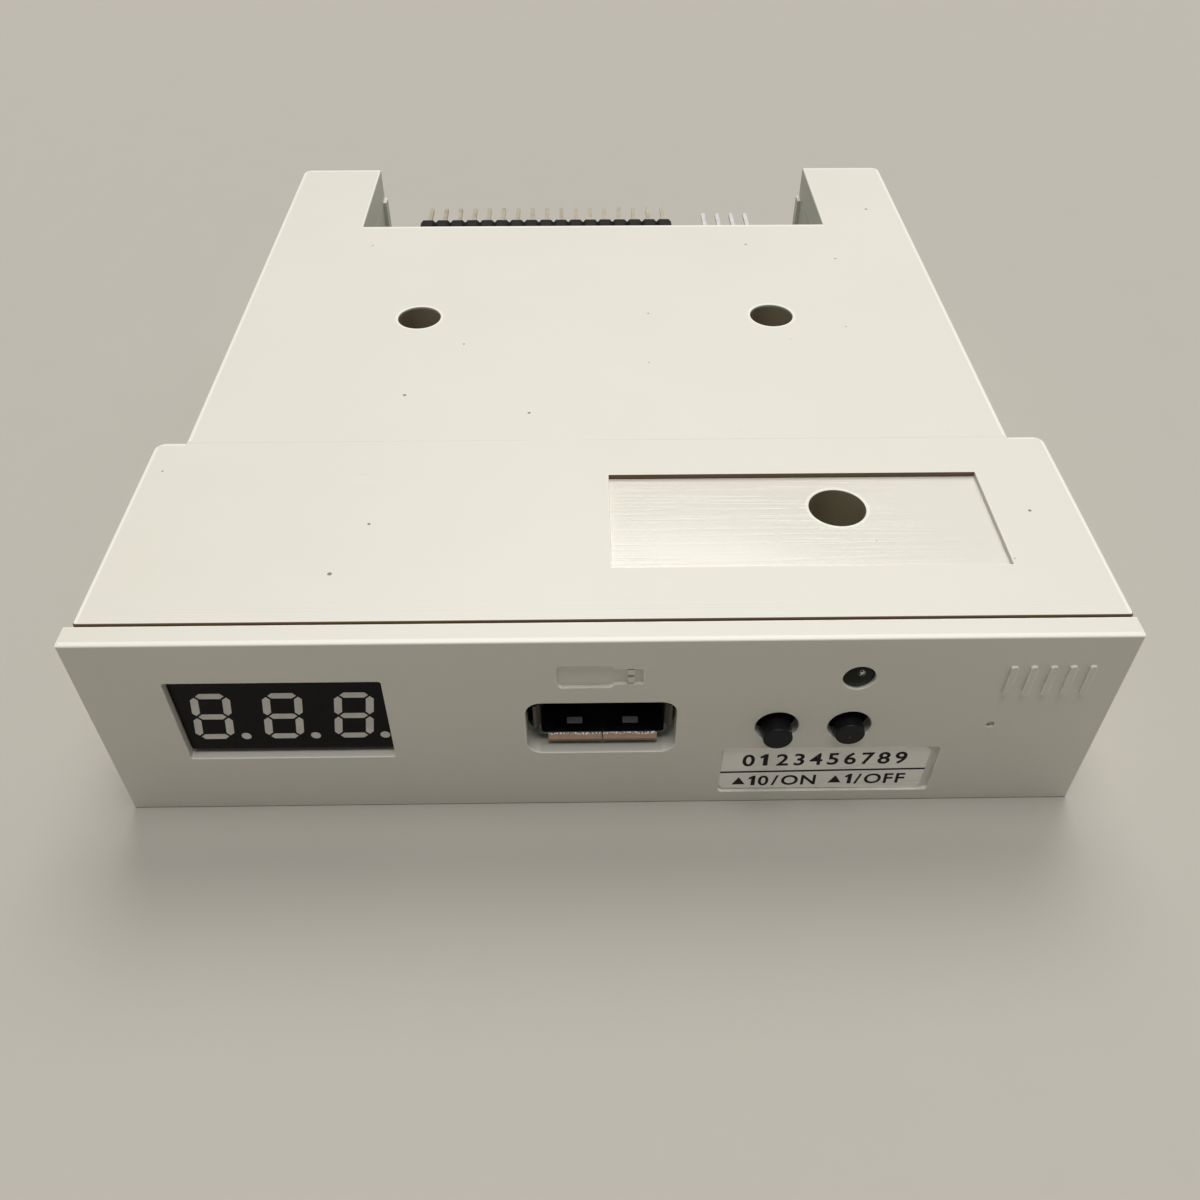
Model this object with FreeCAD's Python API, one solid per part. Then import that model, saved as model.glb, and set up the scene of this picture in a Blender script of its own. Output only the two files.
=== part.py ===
import FreeCAD, Part
import os

from FreeCAD import Vector

# Floppy drive emulator for a 3.5 inch bay, in millimetres.
# X runs to the right seen from the front, Y to the back and Z up.
# Every y below is counted from the front face; the export moves the
# whole object so that its origin is the bottom centre of its box.

# Case
bezel_width = 101.6
body_height = 25.4
bezel_depth = 2.54
panel_wall = 1.5
bezel_step = 0.35
block_shift = 0.3
front_block_end = 31.8
shoulder = 3.65
case_length = 107.0
notch_width = 69.0
notch_depth = 20.6
side_wall = 2.0
case_floor = 2.0
roof_wall = 2.0
lid_height = 4.7
front_skirt = 3.4
lid_gap = 0.35
notch_step = 0.5
lid_notch_gap = 0.3
notch_wall_gap = 1.0
roof_rib_width = 1.2
roof_rib_height = 2.0
plan_corner = 1.2
lid_front_corner = 0.3
lid_edge = 0.25
seam_edge = 0.2
hole_edge = 0.12
bezel_edge = 0.2
lip_height = 1.2
lip_wall = 0.85
lip_inset = 2.0
fit_gap = 0.15

# Label recess in the lid
label_left = 1.0
label_front = 10.24
label_width = 40.3
label_length = 15.0
label_depth = 0.6

# Circuit board
board_top = 10.0
board_thickness = 1.6
board_front = 3.4
board_display_edge = 11.4
board_display_side = -14.0
board_side_gap = 1.05
board_notch_gap = 0.6
board_shelf = 1.2
sill_inset = 3.0
sill_back = 5.0

# Screws through lid, board and case
front_screw_x = 25.35
front_screw_y = 20.05
rear_screw_x = 23.27
rear_screw_lead = 26.9
front_well_radius = 3.05
rear_well_radius = 2.8
well_wall = 1.2
well_floor = 2.0
screw_radius = 1.5
screw_head_radius = 2.5
screw_head_height = 1.9
screw_length = 9.2
screw_hole_gap = 0.15
screw_head_round = 0.7
screw_tip_gap = 0.4
cross_length = 2.8
cross_width = 0.6
cross_depth = 1.1
thread_gap = 0.05
post_wall = 1.9

# Display window and module
window_x = -31.97
window_z = 14.27
window_width = 21.05
window_height = 11.55
window_corner = 0.3
display_width = 20.8
display_height = 10.1
display_depth = 6.0
display_recess = 0.75
display_corner = 0.2
digit_count = 3
digit_pitch = 7.07
digit_shift = -0.05
digit_height = 7.15
digit_width = 4.1
segment_width = 0.95
segment_gap = 0.17
segment_inlay = 0.25
digit_slant = 0.145
dot_radius = 0.5
dot_gap = 0.67
display_row_z = 3.8
display_pin_columns = 6
display_pin_radius = 0.25
display_pin_gap = 0.15
display_pin_end = 0.8
display_board_width = 24.4
display_board_height = 18.6
display_board_thickness = 1.6
rail_wall = 1.2
rail_reach = 1.3
rail_height = 14.0
rail_gap = 0.1
driver_length = 9.9
driver_width = 3.9
driver_z = 6.0
driver_height = 1.5
driver_legs = 8

# USB socket
usb_side_margin = 0.97
usb_top_margin = 1.01
usb_hole_x = -0.17
usb_hole_drop = 0.12
usb_hole_corner = 1.6
usb_collar_wall = 1.0
usb_collar_depth = 3.2
usb_width = 13.2
usb_height = 5.72
usb_length = 13.4
usb_sheet = 0.3
usb_corner = 0.7
usb_recess = 1.0
usb_flare_depth = 0.57
usb_flare = 0.45
usb_flat_lip = 11.2
usb_side_lip_low = 1.7
usb_side_lip_high = 5.0
usb_tongue_width = 11.1
usb_tongue_thickness = 1.84
usb_tongue_drop = 0.78
usb_tongue_recess = 2.2
usb_lip_root = 0.1
usb_seam = 0.1
usb_block_gap = 0.05
usb_block_corner = 0.3
usb_block_depth = 3.6
usb_contacts_count = 4
usb_contact_pitch = 2.4
usb_contact_width = 1.0
usb_contact_gap = 0.1
usb_contact_sheet = 0.3
usb_contact_lead = 0.9
usb_tail_width = 0.6
usb_tail_gap = 0.1
usb_tail_run = 1.2
usb_spring_x = 2.9
usb_spring_width = 1.6
usb_spring_start = 0.9
usb_spring_rise = 0.8
usb_spring_flat = 0.4
usb_spring_fall = 2.3
usb_spring_bump = 0.35
usb_tab_y = 6.2
usb_tab_width = 2.0
tab_slot_gap = 0.3
tab_tail = 0.7

# Push buttons
button_xs = [17.6, 24.97]
button_prouds = [1.4, 0.95]
button_radius = 1.5
button_hole_margin = 0.7
button_hole_rise = 0.38
button_edge = 0.2
button_travel = 0.25
button_flange_step = 0.35
button_flange = 0.6
switch_width = 6.0
switch_height = 4.6
switch_depth = 3.3
switch_front = 2.4
switch_plate = 0.25
frame_tab_start = 1.2
frame_tab_width = 1.0
switch_leg_width = 0.5
switch_leg_sheet = 0.3
switch_leg_lift = 0.6
switch_tail_run = 0.5
switch_plate_gap = 0.25
switch_pocket_gap = 0.3
switch_stop_gap = 0.1
dome_gap = 0.1
dome_side_gap = 0.25
dome_thickness = 0.2
dome_height = 0.5
dome_top_radius = 0.6

# Indicator lamp
lamp_x = 24.8
lamp_z = 19.9
lamp_hole_radius = 1.6
lamp_radius = 1.5
lamp_recess = 0.05
lamp_dome_radius = 4.0
lamp_body = 5.5
lamp_flange_radius = 1.9
lamp_flange = 1.0
lamp_lead = 0.5
lamp_lead_run = 2.5

# Front sticker, its recess and the marks on the front face
sticker_recess_x = 23.75
sticker_recess_z = 5.48
sticker_recess_width = 22.7
sticker_recess_height = 7.45
sticker_recess_depth = 0.4
sticker_recess_corner = 0.5
sticker_x = 23.4
sticker_z = 5.43
sticker_width = 21.8
sticker_height = 7.0
sticker_thickness = 0.1
sticker_corner = 0.8
sticker_tilt = 0.8
dimple_x = 39.3
dimple_z = 12.7
dimple_radius = 0.45
dimple_depth = 0.4
rib_count = 5
rib_x = 43.3
rib_z = 19.5
rib_pitch = 1.9
rib_height = 4.0
rib_width = 0.7
rib_proud = 0.3
rib_round = 0.3
stick_x = -0.3
stick_z = 20.5
stick_body_length = 5.6
stick_body_height = 3.2
stick_plug_length = 2.8
stick_plug_height = 2.2
stick_depth = 0.4
stick_corner = 0.6
stick_hole = 0.6
stick_hole_lead = 1.3

# Pin headers
pin_pitch = 2.54
pin_side = 0.64
pin_tail = 1.2
pin_hole_radius = 0.5
header_cell = 2.54
header_groove = 0.45
data_columns = 17
data_x = -7.95
data_overhang = 1.16
data_reach = 10.6
data_bend = 1.5
power_columns = 4
power_pitch = 2.5
power_x = 23.73
power_z = 1.9
power_reach = 12.3
power_block_width = 10.1
power_block_front = -0.6
power_block_depth = 3.3
power_block_height = 3.9
power_block_corner = 0.4
power_bend_lead = 1.0
jumper_columns = 6
jumper_x = -17.8
jumper_back = 12.7
jumper_pin_height = 6.0
jumper_column = 1
cap_width = 2.4
cap_length = 5.0
cap_lift = 0.2
cap_bore = 1.34
cap_roof = 0.6
cap_headroom = 0.5
cap_travel = 10.0
cap_corner = 0.3
clip_sheet = 0.15
clip_width = 0.9
clip_side_gap = 0.1
clip_passage = 0.4
clip_top_gap = 0.05
clip_lift = 0.5
link_columns = 5
link_z = 2.54
link_bend = 4.45
link_pin_lead = 0.15
service_columns = 5
service_x = -34.0
service_lead = 21.4

# Chips and small parts on the board
solder_gap = 0.1
leg_height = 0.8
leg_reach = 1.0
fine_leg_width = 0.22
controller_x = 2.0
controller_y = 41.0
controller_side = 10.0
controller_height = 1.4
controller_legs = 16
controller_leg_pitch = 0.5
buffer_xs = [-20.0, -4.0]
buffer_lead = 7.4
buffer_length = 8.65
buffer_width = 3.9
buffer_height = 1.5
buffer_legs = 7
small_leg_pitch = 1.27
small_leg_width = 0.4
crystal_x = -14.0
crystal_y = 41.0
crystal_length = 10.5
crystal_width = 4.0
crystal_height = 3.5
crystal_corner = 1.9
regulator_x = 36.0
regulator_lead = 23.4
regulator_length = 6.5
regulator_width = 3.5
regulator_height = 1.6
regulator_leg_pitch = 2.3
regulator_leg_width = 0.7
regulator_leg_reach = 1.6
regulator_tab_width = 3.0
can_radius = 3.15
can_height = 5.4
can_base_side = 6.6
can_base_height = 1.0
can_edge = 0.4
can_places = [(35.0, 39.4), (14.0, 7.4)]
fuse_x = 12.0
fuse_y = 22.0
fuse_length = 4.6
fuse_width = 3.2
fuse_height = 0.8
resistor_pitch = 4.0
resistor_width = 1.25
resistor_length = 2.0
resistor_height = 0.5
buffer_row_x = -8.0
buffer_row_count = 11
buffer_row_gap = 8.0
controller_row_x = 0.0
controller_row_count = 7
controller_row_gap = 9.0
jumper_row_x = 10.0
jumper_row_count = 8
jumper_row_gap = 6.2
capacitor_length = 2.0
capacitor_width = 1.25
capacitor_height = 0.9
controller_capacitor_x = 9.0
controller_capacitor_pitch = 6.0
buffer_capacitor_gap = 5.5
regulator_capacitor_gap = 8.0
regulator_capacitor_pitch = 4.0

# Side mounting holes
mount_front_y = 21.0
mount_pitch = 70.0
mount_z = 5.0
mount_hole_radius = 1.25
mount_hole_depth = 5.0
mount_boss_wall = 2.2
pad_half_length = 5.5
pad_height = 10.0
mount_boss_end = 0.6

# Working values: how far joined shapes run into each other, how far cuts
# run past a face, and how close counts as the same or as beside
weld = 0.5
past = 1.0
tiny = 1e-6
near = 0.01

# Places that follow from the sizes above
front_half = bezel_width / 2 - bezel_step
rear_half = front_half - shoulder
seam_z = body_height - lid_height
roof_z = body_height - roof_wall
lid_front = bezel_depth + lid_gap
notch_y = case_length - notch_depth
notch_half = notch_width / 2
case_notch_half = notch_half - notch_step
board_bottom = board_top - board_thickness
board_half = rear_half - side_wall - board_side_gap
board_tail_half = case_notch_half - board_notch_gap
board_neck_y = notch_y - side_wall - 1.0
data_front = case_length + data_overhang
board_rear = data_front + board_shelf
usb_z = board_top + usb_height / 2
usb_hole_z = usb_z - usb_hole_drop
usb_hole_width = usb_width + 2 * usb_side_margin
usb_hole_height = usb_height + 2 * usb_top_margin
button_z = board_top + switch_height / 2
button_hole_z = button_z + button_hole_rise
button_hole_radius = button_radius + button_hole_margin
button_flange_radius = button_radius + button_flange_step
switch_plate_hole = button_radius + switch_plate_gap
switch_pocket_radius = button_flange_radius + switch_pocket_gap
dome_radius = switch_pocket_radius - dome_side_gap
rear_screw_y = notch_y - rear_screw_lead
screw_places = [
    (front_screw_x, front_screw_y, front_well_radius),
    (-rear_screw_x, rear_screw_y, rear_well_radius),
    (rear_screw_x, rear_screw_y, rear_well_radius),
]
screw_seat_z = board_top + well_floor
pilot_end_z = screw_seat_z - screw_length - screw_tip_gap
display_back = display_recess + display_depth
link_y = display_back + display_board_thickness
jumper_y = case_length - jumper_back
service_y = board_neck_y - service_lead
buffer_y = board_neck_y - buffer_lead
regulator_y = board_neck_y - regulator_lead
cap_height = jumper_pin_height - cap_lift + cap_headroom + cap_roof
back_reach = case_length + max(power_reach, data_reach)
origin_y = (back_reach - max(button_prouds)) / 2


def block(x0, x1, y0, y1, z0, z1):
    return Part.makeBox(x1 - x0, y1 - y0, z1 - z0, Vector(x0, y0, z0))


def centred(x, y, width, length, z0, z1):
    return block(x - width / 2, x + width / 2, y - length / 2, y + length / 2, z0, z1)


def upright(x, y, radius, z0, z1):
    return Part.makeCylinder(radius, z1 - z0, Vector(x, y, z0), Vector(0, 0, 1))


def level(x, z, radius, y0, y1):
    return Part.makeCylinder(radius, y1 - y0, Vector(x, y0, z), Vector(0, 1, 0))


def row(middle, count, pitch):
    return [middle + (index - (count - 1) / 2) * pitch for index in range(count)]


def plate(points, z0, z1):
    corners = [Vector(x, y, z0) for x, y in points]
    face = Part.Face(Part.makePolygon(corners + corners[:1]))
    return face.extrude(Vector(0, 0, z1 - z0))


def front_plate(points, y0, y1):
    corners = [Vector(x, y0, z) for x, z in points]
    face = Part.Face(Part.makePolygon(corners + corners[:1]))
    return face.extrude(Vector(0, y1 - y0, 0))


def side_plate(points, x0, x1):
    corners = [Vector(x0, y, z) for y, z in points]
    face = Part.Face(Part.makePolygon(corners + corners[:1]))
    return face.extrude(Vector(x1 - x0, 0, 0))


def joined(shapes):
    return shapes[0].fuse(shapes[1:]).removeSplitter()


def group(shapes):
    return Part.makeCompound(shapes)


def is_along(edge, direction):
    ends = edge.Vertexes
    if len(ends) != 2:
        return False
    run = ends[1].Point - ends[0].Point
    return run.Length > 0 and abs(abs(run.dot(direction)) - run.Length) < tiny


def rounded(shape, radius, wanted):
    edges = [edge for edge in shape.Edges if wanted(edge)]
    return shape.makeFillet(radius, edges)


def rounded_front(x, z, width, height, corner, y0, y1):
    slab = block(x - width / 2, x + width / 2, y0, y1, z - height / 2, z + height / 2)
    return rounded(slab, corner, lambda edge: is_along(edge, Vector(0, 1, 0)))


# The front block and the side pads sit a little to the right of the panel
def block_side(side, inset=0):
    return side * (front_half - inset) + block_shift


def lid_plan(inset):
    rear = rear_half - inset
    notch = notch_half + inset
    back = case_length - inset
    step = front_block_end - inset
    halves = []
    for side in [1, -1]:
        front = block_side(side, inset)
        halves.append([
            (front, lid_front + inset), (front, step), (side * rear, step), (side * rear, back),
            (side * notch, back), (side * notch, notch_y - inset),
        ])
    return halves[0] + halves[1][::-1]


# Round the outside corners in plan, then the top rim, and bevel the foot so
# that the seam with the case shows as a fine line
def softened_lid(shell):
    def outer_corner(edge):
        if not is_along(edge, Vector(0, 0, 1)):
            return False
        point = edge.Vertexes[0].Point
        at_step = abs(point.y - front_block_end) < tiny and abs(point.x) > rear_half + 0.1
        at_back = abs(point.y - case_length) < tiny and abs(abs(point.x) - rear_half) < tiny
        return at_step or at_back

    def front_corner(edge):
        return is_along(edge, Vector(0, 0, 1)) and abs(edge.Vertexes[0].Point.y - lid_front) < tiny

    def rim_at(edge, z):
        return all(abs(vertex.Point.z - z) < tiny for vertex in edge.Vertexes)

    shell = rounded(rounded(shell, plan_corner, outer_corner), lid_front_corner, front_corner)
    shell = rounded(shell, lid_edge, lambda edge: rim_at(edge, body_height))
    return shell.makeChamfer(seam_edge, [edge for edge in shell.Edges if rim_at(edge, seam_z)])


# Rails that locate the lid on the case, on both sides of each block
def lip_runs(grow):
    runs = []
    front_run = (lid_front + side_wall + lip_inset, front_block_end - side_wall - lip_inset)
    rear_run = (front_block_end + lip_inset, case_length - side_wall - lip_inset)
    for side in [-1, 1]:
        for wall, (start, end) in [
            (block_side(side, side_wall), front_run), (side * (rear_half - side_wall), rear_run),
        ]:
            x0, x1 = sorted([wall - side * grow, wall + side * (lip_wall + grow)])
            runs.append(block(x0, x1, start - grow, end + grow, seam_z, seam_z + lip_height + grow))
    return runs


def lid_wells():
    tubes = [upright(x, y, radius + well_wall, board_top, roof_z) for x, y, radius in screw_places]
    bores = [upright(x, y, radius, screw_seat_z, body_height) for x, y, radius in screw_places]
    holes = [
        upright(x, y, screw_radius + screw_hole_gap, board_top, screw_seat_z)
        for x, y, radius in screw_places
    ]
    return tubes, bores + holes


# The rims of the label recess and of the screw wells, at the lid's surface
def on_recess_rim(edge):
    middle = edge.valueAt((edge.FirstParameter + edge.LastParameter) / 2)
    floor = body_height - label_depth
    if abs(middle.z - body_height) < tiny:
        over_label = label_left - near < middle.x < label_left + label_width + near
        if over_label and label_front - near < middle.y < label_front + label_length + near:
            return True
    elif abs(middle.z - floor) > tiny:
        return False
    return is_ring_at(edge, screw_places)


def is_ring_at(edge, places):
    if edge.Curve.TypeId != "Part::GeomCircle":
        return False
    centre = edge.Curve.Center
    return any(
        abs(centre.x - x) < tiny and abs(centre.y - y) < tiny and abs(edge.Curve.Radius - radius) < tiny
        for x, y, radius in places
    )


def top_cover():
    shell = softened_lid(plate(lid_plan(0), seam_z, body_height))
    hollow = plate(lid_plan(side_wall), seam_z, roof_z)
    front_cut = block(
        block_side(-1, side_wall), block_side(1, side_wall), lid_front, lid_front + side_wall + weld,
        seam_z, body_height - front_skirt,
    )
    label = block(
        label_left, label_left + label_width, label_front, label_front + label_length,
        body_height - label_depth, body_height,
    )
    wall_half = notch_half - lid_notch_gap
    notch_wall = block(
        -wall_half, wall_half, notch_y - side_wall, notch_y,
        board_top + notch_wall_gap, seam_z + weld,
    )
    rib_half = rear_half - side_wall - weld
    inner_rib = block(
        -rib_half, rib_half, front_block_end - roof_rib_width / 2, front_block_end + roof_rib_width / 2,
        roof_z - roof_rib_height, roof_z,
    )
    tubes, bores = lid_wells()
    shell = shell.cut([hollow, front_cut])
    shell = shell.fuse([notch_wall, inner_rib] + tubes)
    shell = shell.cut(bores + [label] + lip_runs(fit_gap)).removeSplitter()
    return rounded(shell, hole_edge, on_recess_rim)


def case_outside():
    bezel = block(-bezel_width / 2, bezel_width / 2, 0, bezel_depth, 0, body_height)
    bezel = rounded(bezel, bezel_edge, lambda edge: min(v.Point.y for v in edge.Vertexes) < tiny
                    and not is_along(edge, Vector(0, 1, 0)))
    front = block(block_side(-1), block_side(1), bezel_depth, front_block_end, 0, seam_z)
    rear = block(-rear_half, rear_half, front_block_end - past, case_length, 0, seam_z)

    def back_corner(edge):
        return is_along(edge, Vector(0, 0, 1)) and edge.Vertexes[0].Point.y > front_block_end - tiny

    front = rounded(front, plan_corner, back_corner)
    rear = rounded(rear, plan_corner, back_corner)
    pads = []
    for side in [-1, 1]:
        x0, x1 = sorted([side * (rear_half - past), block_side(side)])
        y = mount_front_y + mount_pitch
        pad = block(x0, x1, y - pad_half_length, y + pad_half_length, 0, pad_height)
        pads.append(rounded(pad, plan_corner, lambda edge: is_along(edge, Vector(0, 0, 1))
                            and abs(edge.Vertexes[0].Point.x) > rear_half))
    return joined([bezel, front, rear] + pads)


def case_room():
    left = block_side(-1, side_wall)
    right = block_side(1, side_wall)
    rear = rear_half - side_wall
    top = seam_z + past
    pocket = block(left, right, panel_wall, bezel_depth, case_floor, roof_z)
    front_room = block(left, right, bezel_depth, front_block_end - side_wall, case_floor, top)
    rear_room = block(
        -rear, rear, front_block_end - side_wall, case_length - side_wall, case_floor, top,
    )
    back_door = block(
        -case_notch_half, case_notch_half, notch_y, case_length + past, case_floor, top,
    )
    return [pocket, front_room, rear_room, back_door]


def case_supports():
    supports = []
    for x, y, radius in screw_places:
        supports.append(upright(x, y, screw_radius + post_wall, case_floor - weld, board_bottom))
    supports.append(
        upright(-front_screw_x, front_screw_y, screw_radius + post_wall, case_floor - weld, board_bottom)
    )
    sill_half = board_tail_half - sill_inset
    sill_y = jumper_y + sill_back
    supports.append(
        block(-sill_half, sill_half, sill_y, sill_y + side_wall, case_floor - weld, board_bottom)
    )
    for side in [-1, 1]:
        x0, x1 = sorted([side * notch_half, side * (notch_half + side_wall)])
        supports.append(block(x0, x1, notch_y - side_wall, case_length, case_floor - weld, seam_z))
        inner = block_side(side, mount_hole_depth + mount_boss_end)
        boss = Part.makeCylinder(
            mount_hole_radius + mount_boss_wall, mount_hole_depth + mount_boss_end + weld - side_wall,
            Vector(inner, mount_front_y, mount_z), Vector(side, 0, 0),
        )
        supports.append(boss)
    return supports


# Two slotted posts hold the display board upright
def display_rails():
    rails = []
    board_half_width = display_board_width / 2
    slot_front = display_back - rail_gap
    slot_back = display_back + display_board_thickness + rail_gap
    for side in [-1, 1]:
        inner = window_x + side * (board_half_width - rail_reach)
        outer = window_x + side * (board_half_width + rail_wall)
        slot_end = window_x + side * (board_half_width + rail_gap)
        x0, x1 = sorted([inner, outer])
        post = block(
            x0, x1, slot_front - rail_wall, slot_back + rail_wall,
            case_floor - weld, case_floor + rail_height,
        )
        x0, x1 = sorted([inner - side * weld, slot_end])
        slot = block(x0, x1, slot_front, slot_back, case_floor, case_floor + rail_height)
        rails.append(post.cut(slot))
    return rails


def case_holes():
    cuts = [
        rounded_front(
            window_x, window_z, window_width, window_height, window_corner, -past, bezel_depth,
        ),
        rounded_front(
            usb_hole_x, usb_hole_z, usb_hole_width, usb_hole_height, usb_hole_corner,
            -past, usb_collar_depth + past,
        ),
        level(lamp_x, lamp_z, lamp_hole_radius, -past, bezel_depth),
        rounded_front(
            sticker_recess_x, sticker_recess_z, sticker_recess_width, sticker_recess_height,
            sticker_recess_corner, -past, sticker_recess_depth,
        ),
        level(dimple_x, dimple_z, dimple_radius, -past, dimple_depth),
    ]
    cuts += [level(x, button_hole_z, button_hole_radius, -past, bezel_depth) for x in button_xs]
    for x, y, radius in screw_places:
        cuts.append(upright(x, y, screw_radius + thread_gap, pilot_end_z, board_bottom))
    for side in [-1, 1]:
        for y in [mount_front_y, mount_front_y + mount_pitch]:
            cuts.append(Part.makeCylinder(
                mount_hole_radius, mount_hole_depth + past,
                Vector(block_side(side, mount_hole_depth), y, mount_z), Vector(side, 0, 0),
            ))
    return cuts + memory_stick_mark()


# Behind the panel, a collar carries on the walls of the socket's opening
def usb_collar():
    width = usb_hole_width + 2 * usb_collar_wall
    height = usb_hole_height + 2 * usb_collar_wall
    corner = usb_hole_corner + usb_collar_wall
    return rounded_front(usb_hole_x, usb_hole_z, width, height, corner, panel_wall - weld, usb_collar_depth)


# A plain picture of a memory stick, sunk into the panel above the socket
def memory_stick_mark():
    body_x = stick_x - stick_plug_length / 2
    body = rounded_front(
        body_x, stick_z, stick_body_length, stick_body_height, stick_corner, -past, stick_depth,
    )
    plug_start = body_x + stick_body_length / 2
    plug = block(
        plug_start - weld, plug_start + stick_plug_length, -past, stick_depth,
        stick_z - stick_plug_height / 2, stick_z + stick_plug_height / 2,
    )
    mark = joined([body, plug])
    for z in row(stick_z, 2, stick_plug_height / 2):
        x = plug_start + stick_hole_lead
        low = z - stick_hole / 2
        mark = mark.cut(block(x, x + stick_hole, -past, stick_depth, low, low + stick_hole))
    return [mark]


def front_ribs():
    ribs = []
    for x in row(rib_x, rib_count, rib_pitch):
        ribs.append(rounded_front(x, rib_z, rib_width, rib_height, rib_round, -rib_proud, weld))
    return ribs


# The rims of the panel's own openings, not its outline or its marks
def on_panel_hole_rim(edge):
    middle = edge.valueAt((edge.FirstParameter + edge.LastParameter) / 2)
    if abs(middle.y) > tiny:
        return False
    openings = [
        (window_x, window_z, window_width, window_height),
        (usb_hole_x, usb_hole_z, usb_hole_width, usb_hole_height),
        (lamp_x, lamp_z, lamp_hole_radius * 2, lamp_hole_radius * 2),
    ]
    openings += [(x, button_hole_z, button_hole_radius * 2, button_hole_radius * 2) for x in button_xs]
    for x, z, width, height in openings:
        if abs(middle.x - x) < width / 2 + near and abs(middle.z - z) < height / 2 + near:
            return True
    return False


def lower_case():
    case = case_outside().cut(case_room())
    case = case.fuse(case_supports() + display_rails() + lip_runs(0) + front_ribs() + [usb_collar()])
    case = case.cut(case_holes()).removeSplitter()
    return rounded(case, hole_edge, on_panel_hole_rim)


def cover_screws():
    screws = []
    for x, y, radius in screw_places:
        head = upright(x, y, screw_head_radius, screw_seat_z, screw_seat_z + screw_head_height)
        head = rounded(head, screw_head_round, lambda edge: min(v.Point.z for v in edge.Vertexes)
                       > screw_seat_z + screw_head_height - tiny)
        shank = upright(x, y, screw_radius, screw_seat_z - screw_length, screw_seat_z + weld)
        cross_top = screw_seat_z + screw_head_height
        low = cross_top - cross_depth
        slots = [
            centred(x, y, cross_length, cross_width, low, cross_top + past),
            centred(x, y, cross_width, cross_length, low, cross_top + past),
        ]
        screws.append(joined([head, shank]).cut(slots))
    return group(screws)


def board_plan():
    return [
        (board_display_side, board_front), (board_half, board_front), (board_half, board_neck_y),
        (board_tail_half, board_neck_y), (board_tail_half, board_rear), (-board_tail_half, board_rear),
        (-board_tail_half, board_neck_y), (-board_half, board_neck_y),
        (-board_half, board_display_edge), (board_display_side, board_display_edge),
    ]


def data_column_xs():
    return row(data_x, data_columns, pin_pitch)


def power_column_xs():
    return row(power_x, power_columns, power_pitch)


def jumper_column_xs():
    return row(jumper_x, jumper_columns, pin_pitch)


def jumper_row_ys():
    return row(jumper_y, 2, pin_pitch)


def link_column_xs():
    return row(window_x, link_columns, pin_pitch)


def service_column_ys():
    return row(service_y, service_columns, pin_pitch)


def usb_contact_xs():
    return row(0, usb_contacts_count, usb_contact_pitch)


def usb_tail_y():
    return usb_recess + usb_length + usb_tail_run


def switch_tail_y():
    return switch_front + switch_depth + switch_tail_run


def lamp_tail_y():
    return lamp_recess + lamp_body + lamp_lead_run


def data_row_bends():
    return [data_front - data_bend - pin_pitch, data_front - data_bend]


def power_bend_y():
    return case_length + power_block_front - power_bend_lead


def board_pin_places():
    places = [(x, y) for x in data_column_xs() for y in data_row_bends()]
    places += [(x, power_bend_y()) for x in power_column_xs()]
    places += [(x, y) for x in jumper_column_xs() for y in jumper_row_ys()]
    places += [(x, link_y + link_bend) for x in link_column_xs()]
    places += [(service_x, y) for y in service_column_ys()]
    places += [(x, usb_tail_y()) for x in usb_contact_xs()]
    places += [(x, lamp_tail_y()) for x in row(lamp_x, 2, pin_pitch)]
    for button_x in button_xs:
        places += [(x, switch_tail_y()) for x in row(button_x, 2, pin_pitch)]
    return places


def main_board():
    board = plate(board_plan(), board_bottom, board_top)
    low = board_bottom - past
    high = board_top + past
    cuts = [upright(x, y, screw_radius + screw_hole_gap, low, high) for x, y, radius in screw_places]
    cuts += [upright(x, y, pin_hole_radius, low, high) for x, y in board_pin_places()]
    cuts += [tab_slot(x, usb_tab_y, usb_sheet, usb_tab_width) for x in row(0, 2, usb_width - usb_sheet)]
    tab_y = switch_front + frame_tab_start + frame_tab_width / 2
    for button_x in button_xs:
        for x in row(button_x, 2, switch_width + switch_plate):
            cuts.append(tab_slot(x, tab_y, switch_plate, frame_tab_width))
    return board.cut(cuts)


def tab_slot(x, y, sheet, width):
    low = board_bottom - past
    high = board_top + past
    return centred(x, y, sheet + 2 * tab_slot_gap, width + 2 * tab_slot_gap, low, high)


# One seven segment digit as closed outlines, leaning like the real ones
def segment_outlines(x, z):
    half = (digit_width - segment_width) / 2
    reach = (digit_height - segment_width) / 2
    ends = {
        "top": ((-half, reach), (half, reach)),
        "middle": ((-half, 0), (half, 0)),
        "bottom": ((-half, -reach), (half, -reach)),
        "left_top": ((-half, 0), (-half, reach)),
        "right_top": ((half, 0), (half, reach)),
        "left_bottom": ((-half, -reach), (-half, 0)),
        "right_bottom": ((half, -reach), (half, 0)),
    }
    outlines = []
    for (x0, z0), (x1, z1) in ends.values():
        wide = segment_width / 2 - segment_gap / 2
        if z0 == z1:
            x0, x1 = x0 + segment_gap, x1 - segment_gap
            points = [(x0, z0), (x0 + wide, z0 + wide), (x1 - wide, z0 + wide), (x1, z0),
                      (x1 - wide, z0 - wide), (x0 + wide, z0 - wide)]
        else:
            z0, z1 = z0 + segment_gap, z1 - segment_gap
            points = [(x0, z0), (x0 + wide, z0 + wide), (x0 + wide, z1 - wide), (x0, z1),
                      (x0 - wide, z1 - wide), (x0 - wide, z0 + wide)]
        outlines.append([(x + px + pz * digit_slant, z + pz) for px, pz in points])
    return outlines


def digit_xs():
    return row(window_x + digit_shift, digit_count, digit_pitch)


def segment_solids(front, back):
    solids = []
    for x in digit_xs():
        solids += [front_plate(points, front, back) for points in segment_outlines(x, window_z)]
        dot_x = x + digit_width / 2 + dot_gap
        dot_z = window_z - digit_height / 2 + dot_radius
        solids.append(level(dot_x, dot_z, dot_radius, front, back))
    return solids


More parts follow.
